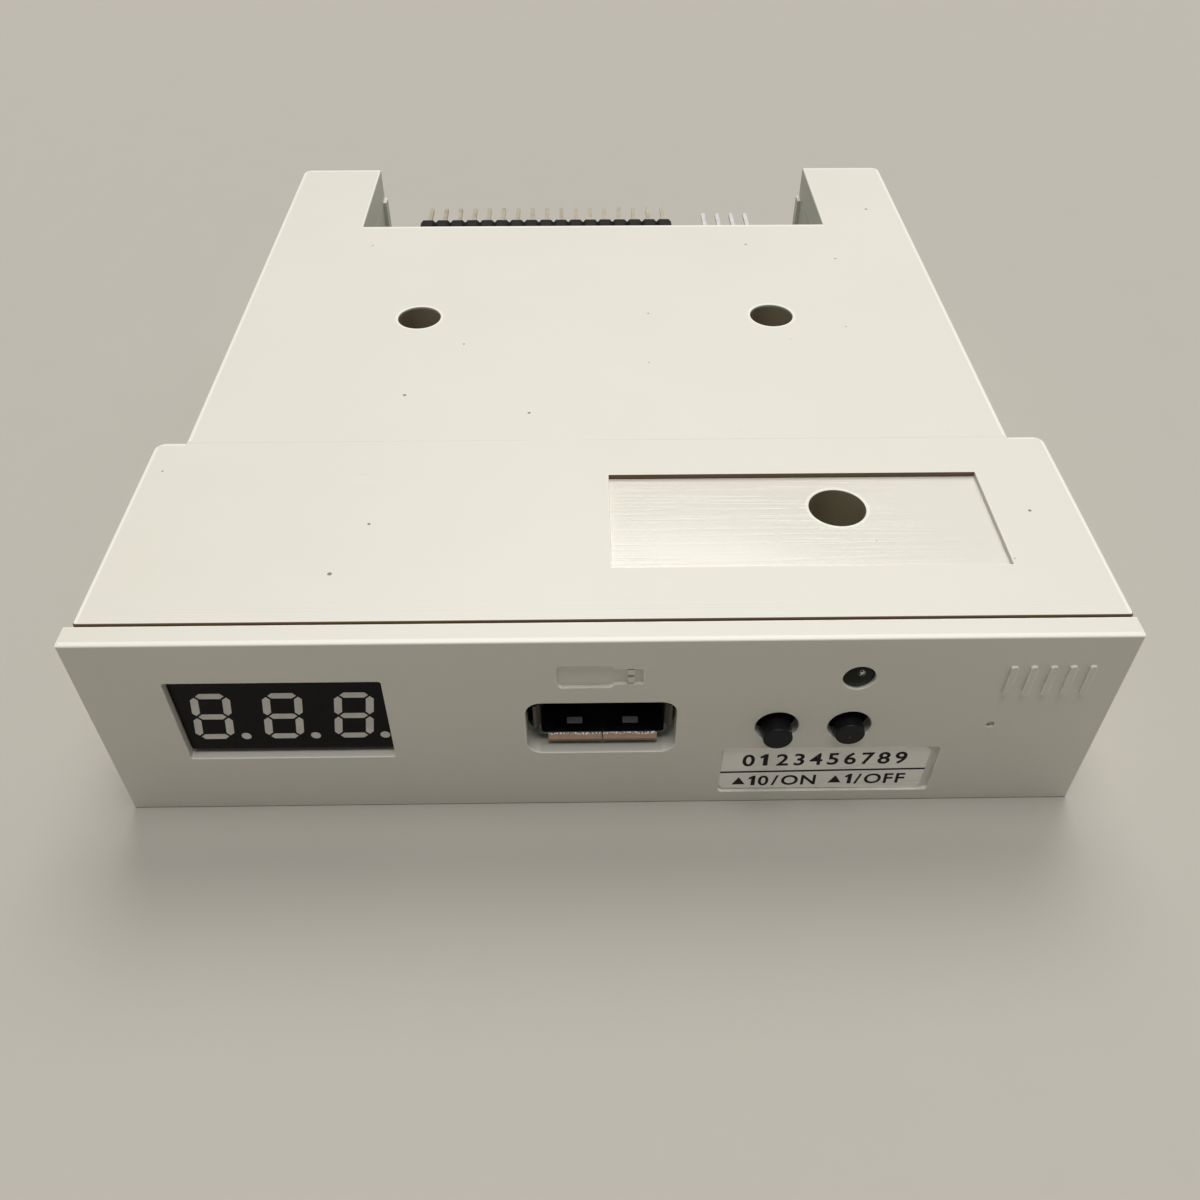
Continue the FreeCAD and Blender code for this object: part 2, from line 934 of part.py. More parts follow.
def display_body():
    body = rounded_front(
        window_x, window_z, display_width, display_height, display_corner,
        display_recess, display_back,
    )
    return body.cut(segment_solids(display_recess, display_recess + segment_inlay))


def display_segments():
    return group(segment_solids(display_recess, display_recess + segment_inlay))


def display_pin_places():
    xs = row(window_x, display_pin_columns, pin_pitch)
    return [(x, z) for x in xs for z in row(window_z, 2, 2 * display_row_z)]


def display_pins():
    back = link_y + display_pin_end
    return group([level(x, z, display_pin_radius, display_back, back) for x, z in display_pin_places()])


def display_board():
    board = block(
        window_x - display_board_width / 2, window_x + display_board_width / 2,
        display_back, display_back + display_board_thickness,
        case_floor, case_floor + display_board_height,
    )
    front = display_back - past
    back = link_y + past
    hole = display_pin_radius + display_pin_gap
    cuts = [level(x, z, hole, front, back) for x, z in display_pin_places()]
    cuts += [level(x, board_top + link_z, pin_hole_radius, front, back) for x in link_column_xs()]
    return board.cut(cuts)


def display_driver():
    return block(
        window_x - driver_length / 2, window_x + driver_length / 2,
        link_y + solder_gap, link_y + driver_height,
        driver_z - driver_width / 2, driver_z + driver_width / 2,
    )


def display_driver_legs():
    legs = []
    half = small_leg_width / 2
    for x in row(window_x, driver_legs, small_leg_pitch):
        for side in [-1, 1]:
            near_z = driver_z + side * driver_width / 2
            z0, z1 = sorted([near_z, near_z + side * leg_reach])
            legs.append(block(x - half, x + half, link_y, link_y + leg_height, z0, z1))
    return group(legs)


# A row of square pins in bevelled cells, seen along the pins
def header_profile(xs, z0, rows):
    top = z0 + rows * header_cell
    left = xs[0] - header_cell / 2
    right = xs[-1] + header_cell / 2
    points = [(left, z0 + header_groove), (left + header_groove, z0)]
    for x in xs[:-1]:
        edge = x + header_cell / 2
        points += [(edge - header_groove, z0), (edge, z0 + header_groove), (edge + header_groove, z0)]
    points += [(right - header_groove, z0), (right, z0 + header_groove)]
    points += [(right, top - header_groove), (right - header_groove, top)]
    for x in reversed(xs[:-1]):
        edge = x + header_cell / 2
        points += [(edge + header_groove, top), (edge, top - header_groove), (edge - header_groove, top)]
    points += [(left + header_groove, top), (left, top - header_groove)]
    return points


def square_pin_y(x, z, y0, y1):
    half = pin_side / 2
    return block(x - half, x + half, y0, y1, z - half, z + half)


def square_pin_z(x, y, z0, z1):
    return centred(x, y, pin_side, pin_side, z0, z1)


# A bent pin: level from its tip to the bend, then down through the board
def bent_pin(x, z, bend_y, tip_y):
    half = pin_side / 2
    run = square_pin_y(x, z, bend_y - half, tip_y)
    run = run.makeChamfer(pin_side / 4, [e for e in run.Edges if min(v.Point.y for v in e.Vertexes)
                                         > tip_y - tiny])
    drop = square_pin_z(x, bend_y, board_bottom - pin_tail, z + half)
    return joined([run, drop])


def data_row_zs():
    return row(board_top + header_cell, 2, header_cell)


def data_header_block():
    body = front_plate(header_profile(data_column_xs(), board_top, 2), data_front, data_front + header_cell)
    rows = data_row_zs()
    tip = case_length + data_reach
    return body.cut([square_pin_y(x, z, data_front - past, tip) for x in data_column_xs() for z in rows])


def data_header_pins():
    pins = []
    tip = case_length + data_reach
    inner_bend, outer_bend = data_row_bends()
    lower_z, upper_z = data_row_zs()
    for x in data_column_xs():
        pins.append(bent_pin(x, upper_z, inner_bend, tip))
        pins.append(bent_pin(x, lower_z, outer_bend, tip))
    return group(pins)


def power_header_block():
    front = case_length + power_block_front
    body = block(
        power_x - power_block_width / 2, power_x + power_block_width / 2, front,
        front + power_block_depth, board_top, board_top + power_block_height,
    )
    body = rounded(body, power_block_corner, lambda edge: is_along(edge, Vector(0, 1, 0)))
    z = board_top + power_z
    back = front + power_block_depth + past
    return body.cut([square_pin_y(x, z, front - past, back) for x in power_column_xs()])


def power_header_pins():
    tip = case_length + power_reach
    return group([bent_pin(x, board_top + power_z, power_bend_y(), tip) for x in power_column_xs()])


def upright_header_block(places, rows, columns, along_x):
    xs = [x for x, y in places]
    ys = [y for x, y in places]
    half = header_cell / 2
    body = block(
        min(xs) - half, max(xs) + half, min(ys) - half, max(ys) + half, board_top, board_top + header_cell,
    )
    grooves = []
    for index in range(1, columns):
        if along_x:
            x = min(xs) - half + index * header_cell
            for y in [min(ys) - half, max(ys) + half]:
                grooves.append(diamond(x, y))
        else:
            y = min(ys) - half + index * header_cell
            for x in [min(xs) - half, max(xs) + half]:
                grooves.append(diamond(x, y))
    pins = [square_pin_z(x, y, board_top, board_top + header_cell) for x, y in places]
    return body.cut(grooves + pins)


def diamond(x, y):
    reach = header_groove
    points = [(x - reach, y), (x, y - reach), (x + reach, y), (x, y + reach)]
    return plate(points, board_top, board_top + header_cell)


def upright_header_pins(places):
    low = board_bottom - pin_tail
    high = board_top + header_cell + jumper_pin_height
    return group([square_pin_z(x, y, low, high) for x, y in places])


def jumper_places():
    return [(x, y) for x in jumper_column_xs() for y in jumper_row_ys()]


def service_places():
    return [(service_x, y) for y in service_column_ys()]


def cap_base_z():
    return board_top + header_cell + cap_lift


def jumper_cap():
    x = jumper_column_xs()[jumper_column]
    base = cap_base_z()
    cap = centred(x, jumper_y, cap_width, cap_length, base, base + cap_height)
    cap = rounded(cap, cap_corner, lambda edge: is_along(edge, Vector(0, 0, 1)))
    top = base + cap_height - cap_roof
    bores = [centred(x, y, cap_bore, cap_bore, base, top) for y in jumper_row_ys()]
    passage = centred(x, jumper_y, clip_width + 2 * clip_side_gap, pin_pitch, top - clip_passage, top)
    return cap.cut(bores + [passage])


# The spring strip inside the cap: two leaves joined over the top
def jumper_clip():
    x = jumper_column_xs()[jumper_column]
    base = cap_base_z() + clip_lift
    top = cap_base_z() + cap_height - cap_roof - clip_top_gap
    reach = pin_pitch / 2 + cap_bore / 2
    half = clip_width / 2
    strip = block(x - half, x + half, jumper_y - reach, jumper_y + reach, top - clip_sheet, top)
    leaves = []
    for side in [-1, 1]:
        y0, y1 = sorted([jumper_y + side * reach, jumper_y + side * (reach - clip_sheet)])
        leaves.append(block(x - half, x + half, y0, y1, base, top))
    return joined([strip] + leaves)


def link_header_block():
    z = board_top + link_z - header_cell / 2
    body = front_plate(header_profile(link_column_xs(), z, 1), link_y, link_y + header_cell)
    pin_z = board_top + link_z
    back = link_y + header_cell + past
    return body.cut([square_pin_y(x, pin_z, link_y - past, back) for x in link_column_xs()])


def link_header_pins():
    pins = []
    half = pin_side / 2
    z = board_top + link_z
    bend = link_y + link_bend
    for x in link_column_xs():
        run = square_pin_y(x, z, display_back + link_pin_lead, bend + half)
        drop = square_pin_z(x, bend, board_bottom - pin_tail, z + half)
        pins.append(joined([run, drop]))
    return group(pins)


# The socket's sheet metal shell, its flared lips, springs and solder tabs
def usb_shell():
    back = usb_recess + usb_length
    mouth = usb_recess + usb_flare_depth
    tube = rounded_front(0, usb_z, usb_width, usb_height, usb_corner, mouth, back)
    inner_width = usb_width - 2 * usb_sheet
    inner_height = usb_height - 2 * usb_sheet
    bore = rounded_front(
        0, usb_z, inner_width, inner_height, usb_corner - usb_sheet, mouth - past, back - usb_sheet,
    )
    shell = tube.cut(bore)
    extras = usb_lips(mouth) + usb_springs(mouth)
    for side in [-1, 1]:
        x = side * (usb_width - usb_sheet) / 2
        extras.append(centred(x, usb_tab_y, usb_sheet, usb_tab_width, board_bottom - tab_tail, usb_z))
    half = usb_seam / 2
    low = board_top - past
    seam = block(-half, half, usb_recess - past, back + past, low, board_top + usb_sheet + near)
    return joined([shell] + extras).cut(seam)


def usb_lips(mouth):
    lips = []
    half_height = usb_height / 2
    half_width = usb_width / 2
    tip = usb_recess
    inside = mouth + usb_lip_root
    for side in [-1, 1]:
        root = usb_z + side * half_height
        points = [
            (inside, root), (inside, root - side * usb_sheet), (mouth, root - side * usb_sheet),
            (tip, root + side * (usb_flare - usb_sheet)), (tip, root + side * usb_flare), (mouth, root),
        ]
        lips.append(side_plate(points, -usb_flat_lip / 2, usb_flat_lip / 2))
        wall = side * half_width
        flare = side * usb_flare
        sheet = side * usb_sheet
        points = [
            (wall, inside), (wall - sheet, inside), (wall - sheet, mouth),
            (wall + flare - sheet, tip), (wall + flare, tip), (wall, mouth),
        ]
        lips.append(plate(points, board_top + usb_side_lip_low, board_top + usb_side_lip_high))
    return lips


def usb_springs(mouth):
    springs = []
    for x in [-usb_spring_x, usb_spring_x]:
        for side in [-1, 1]:
            root = usb_z + side * (usb_height / 2 - usb_sheet / 2)
            bump = usb_z + side * (usb_height / 2 - usb_sheet - usb_spring_bump)
            start = mouth + usb_spring_start
            crest = start + usb_spring_rise
            crest_end = crest + usb_spring_flat
            points = [(start, root), (crest, bump), (crest_end, bump), (crest_end + usb_spring_fall, root)]
            springs.append(side_plate(points, x - usb_spring_width / 2, x + usb_spring_width / 2))
    return springs


def usb_tongue():
    back = usb_recess + usb_length - usb_sheet
    mouth = usb_recess + usb_flare_depth
    top = board_top + usb_height - usb_sheet - usb_tongue_drop
    tongue = block(
        -usb_tongue_width / 2, usb_tongue_width / 2, mouth + usb_tongue_recess, back,
        top - usb_tongue_thickness, top,
    )
    inner_width = usb_width - 2 * usb_sheet - 2 * usb_block_gap
    inner_height = usb_height - 2 * usb_sheet - 2 * usb_block_gap
    front = back - usb_block_depth
    base = rounded_front(0, usb_z, inner_width, inner_height, usb_block_corner, front, back)
    low = top - usb_tongue_thickness
    half = usb_contact_width / 2 + usb_contact_gap
    start = mouth + usb_tongue_recess + usb_contact_lead - usb_contact_gap
    grooves = [
        block(x - half, x + half, start, back, low, low + usb_contact_sheet) for x in usb_contact_xs()
    ]
    return joined([tongue, base]).cut(grooves)


def usb_contacts():
    contacts = []
    back = usb_recess + usb_length
    mouth = usb_recess + usb_flare_depth
    low = board_top + usb_height - usb_sheet - usb_tongue_drop - usb_tongue_thickness
    tail_y = usb_tail_y()
    start = mouth + usb_tongue_recess + usb_contact_lead
    half = usb_contact_width / 2
    tail = usb_tail_width / 2
    top = low + usb_contact_sheet
    for x in usb_contact_xs():
        contacts.append(block(x - half, x + half, start, back - usb_sheet, low, top))
        run = block(x - tail, x + tail, back + usb_tail_gap, tail_y + tail, low, top)
        drop = centred(x, tail_y, usb_tail_width, usb_tail_width, board_bottom - pin_tail, top)
        contacts.append(joined([run, drop]))
    return group(contacts)


def switch_base(x):
    back = switch_front + switch_depth
    base = block(
        x - switch_width / 2, x + switch_width / 2, switch_front, back,
        board_top, board_top + switch_height,
    )
    pocket = level(x, button_z, switch_pocket_radius, switch_front, dome_back())
    return base.cut(pocket)


def switch_frame(x):
    outer = switch_width / 2 + switch_plate
    front = switch_front - switch_plate
    top = board_top + switch_height
    plate_front = block(x - outer, x + outer, front, switch_front, board_top, top)
    sheet = [plate_front]
    tab_y = switch_front + frame_tab_start
    tab_end = tab_y + frame_tab_width
    for side in [-1, 1]:
        x0, x1 = sorted([x + side * switch_width / 2, x + side * outer])
        sheet.append(block(x0, x1, switch_front, tab_end, board_top, top))
        sheet.append(block(x0, x1, tab_y, tab_end, board_bottom - tab_tail, board_top))
    hole = level(x, button_z, switch_plate_hole, front - past, switch_front)
    return joined(sheet).cut(hole)


def button_seat_y():
    return switch_front + switch_stop_gap


def dome_front():
    return button_seat_y() + button_flange + button_travel + dome_gap


def dome_back():
    return dome_front() + dome_height


def switch_dome(x):
    front = dome_front()
    rim = dome_back()
    base = Vector(x, rim, button_z)
    towards_front = Vector(0, -1, 0)
    cup = Part.makeCone(dome_radius, dome_top_radius, rim - front, base, towards_front)
    hollow = Part.makeCone(
        dome_radius - dome_thickness, dome_top_radius - dome_thickness, rim - front - dome_thickness,
        base, towards_front,
    )
    return cup.cut(hollow)


def switch_legs(x):
    back = switch_front + switch_depth
    legs = []
    half = switch_leg_width / 2
    low = board_top + switch_leg_lift
    top = low + switch_leg_sheet
    for leg_x in row(x, 2, pin_pitch):
        run = block(leg_x - half, leg_x + half, back, switch_tail_y() + switch_leg_sheet / 2, low, top)
        drop = centred(
            leg_x, switch_tail_y(), switch_leg_width, switch_leg_sheet, board_bottom - pin_tail, top,
        )
        legs.append(joined([run, drop]))
    return group(legs)


def button(x, proud):
    seat = button_seat_y()
    stem = level(x, button_z, button_radius, -proud, seat + button_flange / 2)
    stem = rounded(stem, button_edge, lambda edge: max(v.Point.y for v in edge.Vertexes) < -proud + tiny)
    flange = level(x, button_z, button_flange_radius, seat, seat + button_flange)
    return joined([stem, flange])


def lamp_lens():
    dome = Part.makeSphere(lamp_dome_radius, Vector(lamp_x, lamp_recess + lamp_dome_radius, lamp_z))
    back = lamp_recess + lamp_body
    barrel = level(lamp_x, lamp_z, lamp_radius, lamp_recess, back).common(dome)
    flange = level(lamp_x, lamp_z, lamp_flange_radius, back - lamp_flange, back)
    return joined([barrel, flange])


def lamp_leads():
    leads = []
    back = lamp_recess + lamp_body
    half = lamp_lead / 2
    for x in row(lamp_x, 2, pin_pitch):
        run = block(x - half, x + half, back, lamp_tail_y() + half, lamp_z - half, lamp_z + half)
        drop = centred(x, lamp_tail_y(), lamp_lead, lamp_lead, board_bottom - pin_tail, lamp_z + half)
        leads.append(joined([run, drop]))
    return group(leads)


def front_sticker():
    back = sticker_recess_depth
    sticker = rounded_front(
        sticker_x, sticker_z, sticker_width, sticker_height, sticker_corner, back - sticker_thickness, back,
    )
    return sticker.rotate(Vector(sticker_x, 0, sticker_z), Vector(0, 1, 0), sticker_tilt)


def gull_leg(x, y, dx, dy, width, body_half, reach):
    near = body_half
    far = body_half + reach
    cross = width / 2
    x0, x1 = sorted([x + dx * near, x + dx * far])
    y0, y1 = sorted([y + dy * near, y + dy * far])
    if dx:
        return block(x0, x1, y - cross, y + cross, board_top, board_top + leg_height)
    return block(x - cross, x + cross, y0, y1, board_top, board_top + leg_height)


def controller():
    return centred(
        controller_x, controller_y, controller_side, controller_side,
        board_top + solder_gap, board_top + controller_height,
    )


def controller_leg_set():
    legs = []
    half = controller_side / 2
    for offset in row(0, controller_legs, controller_leg_pitch):
        for side in [-1, 1]:
            beside = gull_leg(controller_x, controller_y + offset, side, 0, fine_leg_width, half, leg_reach)
            behind = gull_leg(controller_x + offset, controller_y, 0, side, fine_leg_width, half, leg_reach)
            legs += [beside, behind]
    return group(legs)


def line_buffer(x):
    return centred(
        x, buffer_y, buffer_length, buffer_width, board_top + solder_gap, board_top + buffer_height,
    )


def line_buffer_legs(x):
    legs = []
    for leg_x in row(x, buffer_legs, small_leg_pitch):
        for side in [-1, 1]:
            legs.append(gull_leg(leg_x, buffer_y, 0, side, small_leg_width, buffer_width / 2, leg_reach))
    return group(legs)


def crystal_can():
    can = centred(
        crystal_x, crystal_y, crystal_length, crystal_width, board_top, board_top + crystal_height,
    )
    return rounded(can, crystal_corner, lambda edge: is_along(edge, Vector(0, 0, 1)))


def regulator():
    return centred(
        regulator_x, regulator_y, regulator_length, regulator_width,
        board_top + solder_gap, board_top + regulator_height,
    )


def regulator_legs():
    half = regulator_width / 2
    legs = [
        gull_leg(x, regulator_y, 0, -1, regulator_leg_width, half, regulator_leg_reach)
        for x in row(regulator_x, 3, regulator_leg_pitch)
    ]
    legs.append(gull_leg(regulator_x, regulator_y, 0, 1, regulator_tab_width, half, regulator_leg_reach))
    return group(legs)


def can_base(x, y):
    return centred(x, y, can_base_side, can_base_side, board_top, board_top + can_base_height)


def can_top(x, y):
    low = board_top + can_base_height
    can = upright(x, y, can_radius, low, board_top + can_height)
    return rounded(can, can_edge, lambda edge: min(v.Point.z for v in edge.Vertexes) > low + near)


def chip_resistors():
    rows = [
        (buffer_row_x, buffer_row_count, buffer_y - buffer_row_gap),
        (controller_row_x, controller_row_count, controller_y - controller_row_gap),
        (jumper_row_x, jumper_row_count, jumper_y + jumper_row_gap),
    ]
    top = board_top + resistor_height
    return group([
        centred(x, y, resistor_width, resistor_length, board_top, top)
        for middle, count, y in rows for x in row(middle, count, resistor_pitch)
    ])


def chip_capacitors():
    places = [
        (x, y) for x in row(controller_x, 2, 2 * controller_capacitor_x)
        for y in row(controller_y, 3, controller_capacitor_pitch)
    ]
    places += [(x, buffer_y - buffer_capacitor_gap) for x in buffer_xs]
    places += [
        (x, regulator_y + regulator_capacitor_gap) for x in row(regulator_x, 3, regulator_capacitor_pitch)
    ]
    top = board_top + capacitor_height
    return group([centred(x, y, capacitor_length, capacitor_width, board_top, top) for x, y in places])


def fuse():
    return centred(fuse_x, fuse_y, fuse_length, fuse_width, board_top, board_top + fuse_height)


def all_parts():
    parts = {
        "lower_case": lower_case(),
        "top_cover": top_cover(),
        "cover_screws": cover_screws(),
        "main_board": main_board(),
        "display_body": display_body(),
        "display_segments": display_segments(),
        "display_pins": display_pins(),
        "display_board": display_board(),
        "display_driver": display_driver(),
        "display_driver_legs": display_driver_legs(),
        "display_link_block": link_header_block(),
        "display_link_pins": link_header_pins(),
        "usb_shell": usb_shell(),
        "usb_tongue": usb_tongue(),
        "usb_contacts": usb_contacts(),
        "indicator_lens": lamp_lens(),
        "indicator_leads": lamp_leads(),
        "front_sticker": front_sticker(),
        "data_header_block": data_header_block(),
        "data_header_pins": data_header_pins(),
        "power_header_block": power_header_block(),
        "power_header_pins": power_header_pins(),
        "jumper_header_block": upright_header_block(jumper_places(), 2, jumper_columns, True),
        "jumper_header_pins": upright_header_pins(jumper_places()),
        "jumper_cap": jumper_cap(),
        "jumper_clip": jumper_clip(),
        "service_header_block": upright_header_block(service_places(), 1, service_columns, False),
        "service_header_pins": upright_header_pins(service_places()),
        "controller_chip": controller(),
        "controller_chip_legs": controller_leg_set(),
        "crystal": crystal_can(),
        "voltage_regulator": regulator(),
        "voltage_regulator_legs": regulator_legs(),
        "chip_resistors": chip_resistors(),
        "chip_capacitors": chip_capacitors(),
        "input_fuse": fuse(),
    }
    for name, x, proud in zip(["left", "right"], button_xs, button_prouds):
        parts[name + "_button"] = button(x, proud)
        parts[name + "_switch_base"] = switch_base(x)
        parts[name + "_switch_frame"] = switch_frame(x)
        parts[name + "_switch_dome"] = switch_dome(x)
        parts[name + "_switch_legs"] = switch_legs(x)
    for name, x in zip(["read", "write"], buffer_xs):
        parts[name + "_buffer"] = line_buffer(x)
        parts[name + "_buffer_legs"] = line_buffer_legs(x)
    for name, (x, lead) in zip(["front", "rear"], can_places):
        parts[name + "_capacitor_base"] = can_base(x, board_neck_y - lead)
        parts[name + "_capacitor_can"] = can_top(x, board_neck_y - lead)
    return parts


os.makedirs("parts", exist_ok=True)
for name, shape in all_parts().items():
    shape.translate(Vector(0, -origin_y, 0))
    shape.exportStep("parts/" + name + ".step")
    print(name, len(shape.Solids), "solids", round(shape.Volume, 2), "mm3", shape.isValid())
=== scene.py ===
import math

import bmesh
import bpy
from mathutils import Euler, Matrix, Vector


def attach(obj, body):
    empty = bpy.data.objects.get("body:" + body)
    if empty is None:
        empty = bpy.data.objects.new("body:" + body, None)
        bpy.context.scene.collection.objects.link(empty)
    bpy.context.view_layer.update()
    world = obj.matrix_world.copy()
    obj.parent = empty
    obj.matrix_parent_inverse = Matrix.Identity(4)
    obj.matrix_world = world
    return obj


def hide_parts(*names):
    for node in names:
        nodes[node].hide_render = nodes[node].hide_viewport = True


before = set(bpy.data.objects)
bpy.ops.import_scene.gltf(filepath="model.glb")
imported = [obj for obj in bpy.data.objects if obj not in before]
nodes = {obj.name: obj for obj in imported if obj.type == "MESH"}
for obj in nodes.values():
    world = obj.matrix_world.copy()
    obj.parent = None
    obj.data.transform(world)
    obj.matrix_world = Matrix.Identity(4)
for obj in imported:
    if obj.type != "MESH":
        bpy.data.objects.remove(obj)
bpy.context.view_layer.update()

mm = 0.001
weldReach = 0.001 * mm  # corners closer than this are one
print("frame loaded:", len(nodes), "nodes")


# small helpers for node trees
def paint(red, green, blue):  # screen colour 0-255 to the linear colour of a socket
    shades = [value / 255 for value in (red, green, blue)]
    linear = [s / 12.92 if s <= 0.04045 else ((s + 0.055) / 1.055) ** 2.4 for s in shades]
    return (*linear, 1.0)


def plug(tree, socket, value):
    if isinstance(value, bpy.types.NodeSocket):
        tree.links.new(value, socket)
    elif isinstance(value, bpy.types.Node):
        tree.links.new(value.outputs[0], socket)
    else:
        socket.default_value = value


def addNode(tree, kind, sockets=None, **settings):
    node = tree.nodes.new(kind)
    for name, value in settings.items():
        setattr(node, name, value)
    for name, value in (sockets or {}).items():
        plug(tree, node.inputs[name], value)
    return node


def maths(tree, operation, first, second=0.0):
    return addNode(tree, "ShaderNodeMath", {0: first, 1: second}, operation=operation).outputs[0]


def times(tree, first, second):
    return maths(tree, "MULTIPLY", first, second)


def plus(tree, first, second):
    return maths(tree, "ADD", first, second)


def minus(tree, first, second):
    return maths(tree, "SUBTRACT", first, second)


def gapTo(tree, value, middle):  # how far a value is from a middle one
    return maths(tree, "ABSOLUTE", minus(tree, value, middle))


def vectors(tree, operation, first, second):
    return addNode(tree, "ShaderNodeVectorMath", {0: first, 1: second},
                   operation=operation).outputs


def mixed(tree, factor, first, second, blend="MIX"):
    return addNode(tree, "ShaderNodeMix", {0: factor, 6: first, 7: second},
                   data_type="RGBA", blend_type=blend).outputs[2]


def tinted(tree, mask, colour, shade):
    return mixed(tree, mask, colour, paint(*shade))


def spread(tree, value, low, high, newLow=0.0, newHigh=1.0):  # from one range to another
    return addNode(tree, "ShaderNodeMapRange", {
        "Value": value, "From Min": low, "From Max": high,
        "To Min": newLow, "To Max": newHigh}).outputs[0]


def joined(tree, x=0.0, y=0.0, z=0.0):
    return addNode(tree, "ShaderNodeCombineXYZ", {0: x, 1: y, 2: z}).outputs[0]


def apart(tree, vector):
    return addNode(tree, "ShaderNodeSeparateXYZ", {0: vector}).outputs


def objectPoint(tree):
    return addNode(tree, "ShaderNodeTexCoord").outputs["Object"]


def surfaceNormal(tree):
    return addNode(tree, "ShaderNodeNewGeometry").outputs["Normal"]


def noise(tree, point, scale, detail=2.0, rough=0.5, twist=0.0):
    return addNode(tree, "ShaderNodeTexNoise", {
        "Vector": point, "Scale": scale, "Detail": detail, "Roughness": rough,
        "Distortion": twist}).outputs[0]


def newGroup(name, inputs, outputs, kind="ShaderNodeTree"):
    tree = bpy.data.node_groups.new(name, kind)
    for side, sockets in (("INPUT", inputs), ("OUTPUT", outputs)):
        for socketName, socketKind, *values in sockets:
            socket = tree.interface.new_socket(
                name=socketName, in_out=side, socket_type="NodeSocket" + socketKind)
            for value in values:  # one, or none
                socket.default_value = value
    start = tree.nodes.new("NodeGroupInput")
    end = tree.nodes.new("NodeGroupOutput")
    return tree, start, end


def useGroup(tree, group, **values):
    node = addNode(tree, "ShaderNodeGroup", node_tree=group)
    for name, value in values.items():
        plug(tree, node.inputs[name.capitalize()], value)
    return node


# small helpers for pieces
def looseParts(nodeName):  # lowest and highest corner of each closed part of a node, in metres
    mesh = bmesh.new()
    mesh.from_mesh(nodes[nodeName].data)
    bmesh.ops.remove_doubles(mesh, verts=mesh.verts, dist=weldReach)
    seen = set()
    found = []
    for vertex in mesh.verts:
        if vertex in seen:
            continue
        seen.add(vertex)
        waiting = [vertex]
        corners = []
        while waiting:
            one = waiting.pop()
            corners.append(one.co)
            for edge in one.link_edges:
                other = edge.other_vert(one)
                if other not in seen:
                    seen.add(other)
                    waiting.append(other)
        low = Vector([min(corner[axis] for corner in corners) for axis in range(3)])
        high = Vector([max(corner[axis] for corner in corners) for axis in range(3)])
        found.append((low, high))
    mesh.free()
    return sorted(found, key=lambda pair: tuple(pair[0]))


def linked(name, mesh):
    piece = bpy.data.objects.new(name, mesh)
    bpy.context.scene.collection.objects.link(piece)
    return piece


def pointMesh(places, edges=(), faces=()):
    mesh = bpy.data.meshes.new("start")
    mesh.from_pydata([tuple(place) for place in places], list(edges), list(faces))
    return mesh


def flatAt(places, z):  # flat places in mm, put at a height in mm
    return [(x * mm, y * mm, z * mm) for x, y in places]


def newShapes():  # flat shapes in mm, gathered before they are laid on a surface
    return {"points": [], "faces": []}


def addBox(shapes, x0, x1, y0, y1):
    start = len(shapes["points"])
    shapes["points"] += [(x0, y0), (x1, y0), (x1, y1), (x0, y1)]
    shapes["faces"].append([start + corner for corner in range(4)])


def boxMesh(boxes, z):
    shapes = newShapes()
    for box in boxes:
        addBox(shapes, *box)
    return pointMesh(flatAt(shapes["points"], z), (), shapes["faces"])


def taken(carrier):  # the finished plain mesh of a carrier, which then goes
    ready = carrier.evaluated_get(bpy.context.evaluated_depsgraph_get())
    mesh = bpy.data.meshes.new_from_object(ready)
    bpy.data.objects.remove(carrier)
    return mesh


def grow(name, tree, start, values):  # a geometry tree run on a start mesh, kept as a plain mesh
    carrier = linked("carrier", start)
    modifier = carrier.modifiers.new("grow", "NODES")
    modifier.node_group = tree
    for item in tree.interface.items_tree:
        if item.item_type == "SOCKET" and item.in_out == "INPUT" and item.name in values:
            modifier[item.identifier] = values[item.name]
    mesh = taken(carrier)
    mesh.name = name
    return linked(name, mesh)


def newGrower(name, inputs):
    return newGroup(name, [("Geometry", "Geometry")] + inputs,
                    [("Geometry", "Geometry")], "GeometryNodeTree")


def onPoints(tree, points, shape, **more):
    return addNode(tree, "GeometryNodeInstanceOnPoints",
                   {"Points": points, "Instance": shape, **more})


def ended(tree, end, geometry, material=None):  # real geometry, with its material, leaves the tree
    real = addNode(tree, "GeometryNodeRealizeInstances", {"Geometry": geometry})
    if material is not None:
        real = addNode(tree, "GeometryNodeSetMaterial", {"Geometry": real, "Material": material})
    plug(tree, end.inputs[0], real)


# shared effects, each one a shader group
effects = {  # fine, wide, clouds: a noise's detail and roughness; limits: where a mask is 0 and 1
    "grain": {"fine": (2.0, 0.55), "wide": (3.0, 0.6), "wideScale": 0.13, "limits": (0.25, 0.75)},
    "drift": {"clouds": (4.0, 0.6, 0.4), "limits": (0.3, 0.7)},
    "scratches": {"detail": 1.0, "middle": 0.5, "patchScale": 0.35, "patchStart": 0.75,
                  "patchGain": 0.5, "patchBlend": 0.06},
    "edgeWearAndHighlight": {"samples": 4, "limits": (0.99, 0.86), "detail": 3.0, "brokenLimits": (0.35, 0.65)},
    "specks": {"tilts": (-0.2, 1.0), "shares": (0.35, 1.0)},
}


def makeGrain(values):  # fine moulded or cast texture, and a wider one that shades it
    tree, start, end = newGroup(
        "grain", [("Scale", "Float", 4000.0)], [("Height", "Float"), ("Shade", "Float")])
    point, scale = objectPoint(tree), start.outputs["Scale"]
    wide = noise(tree, point, times(tree, scale, values["wideScale"]), *values["wide"])
    plug(tree, end.inputs["Height"], noise(tree, point, scale, *values["fine"]))
    plug(tree, end.inputs["Shade"], spread(tree, wide, *values["limits"]))
    return tree


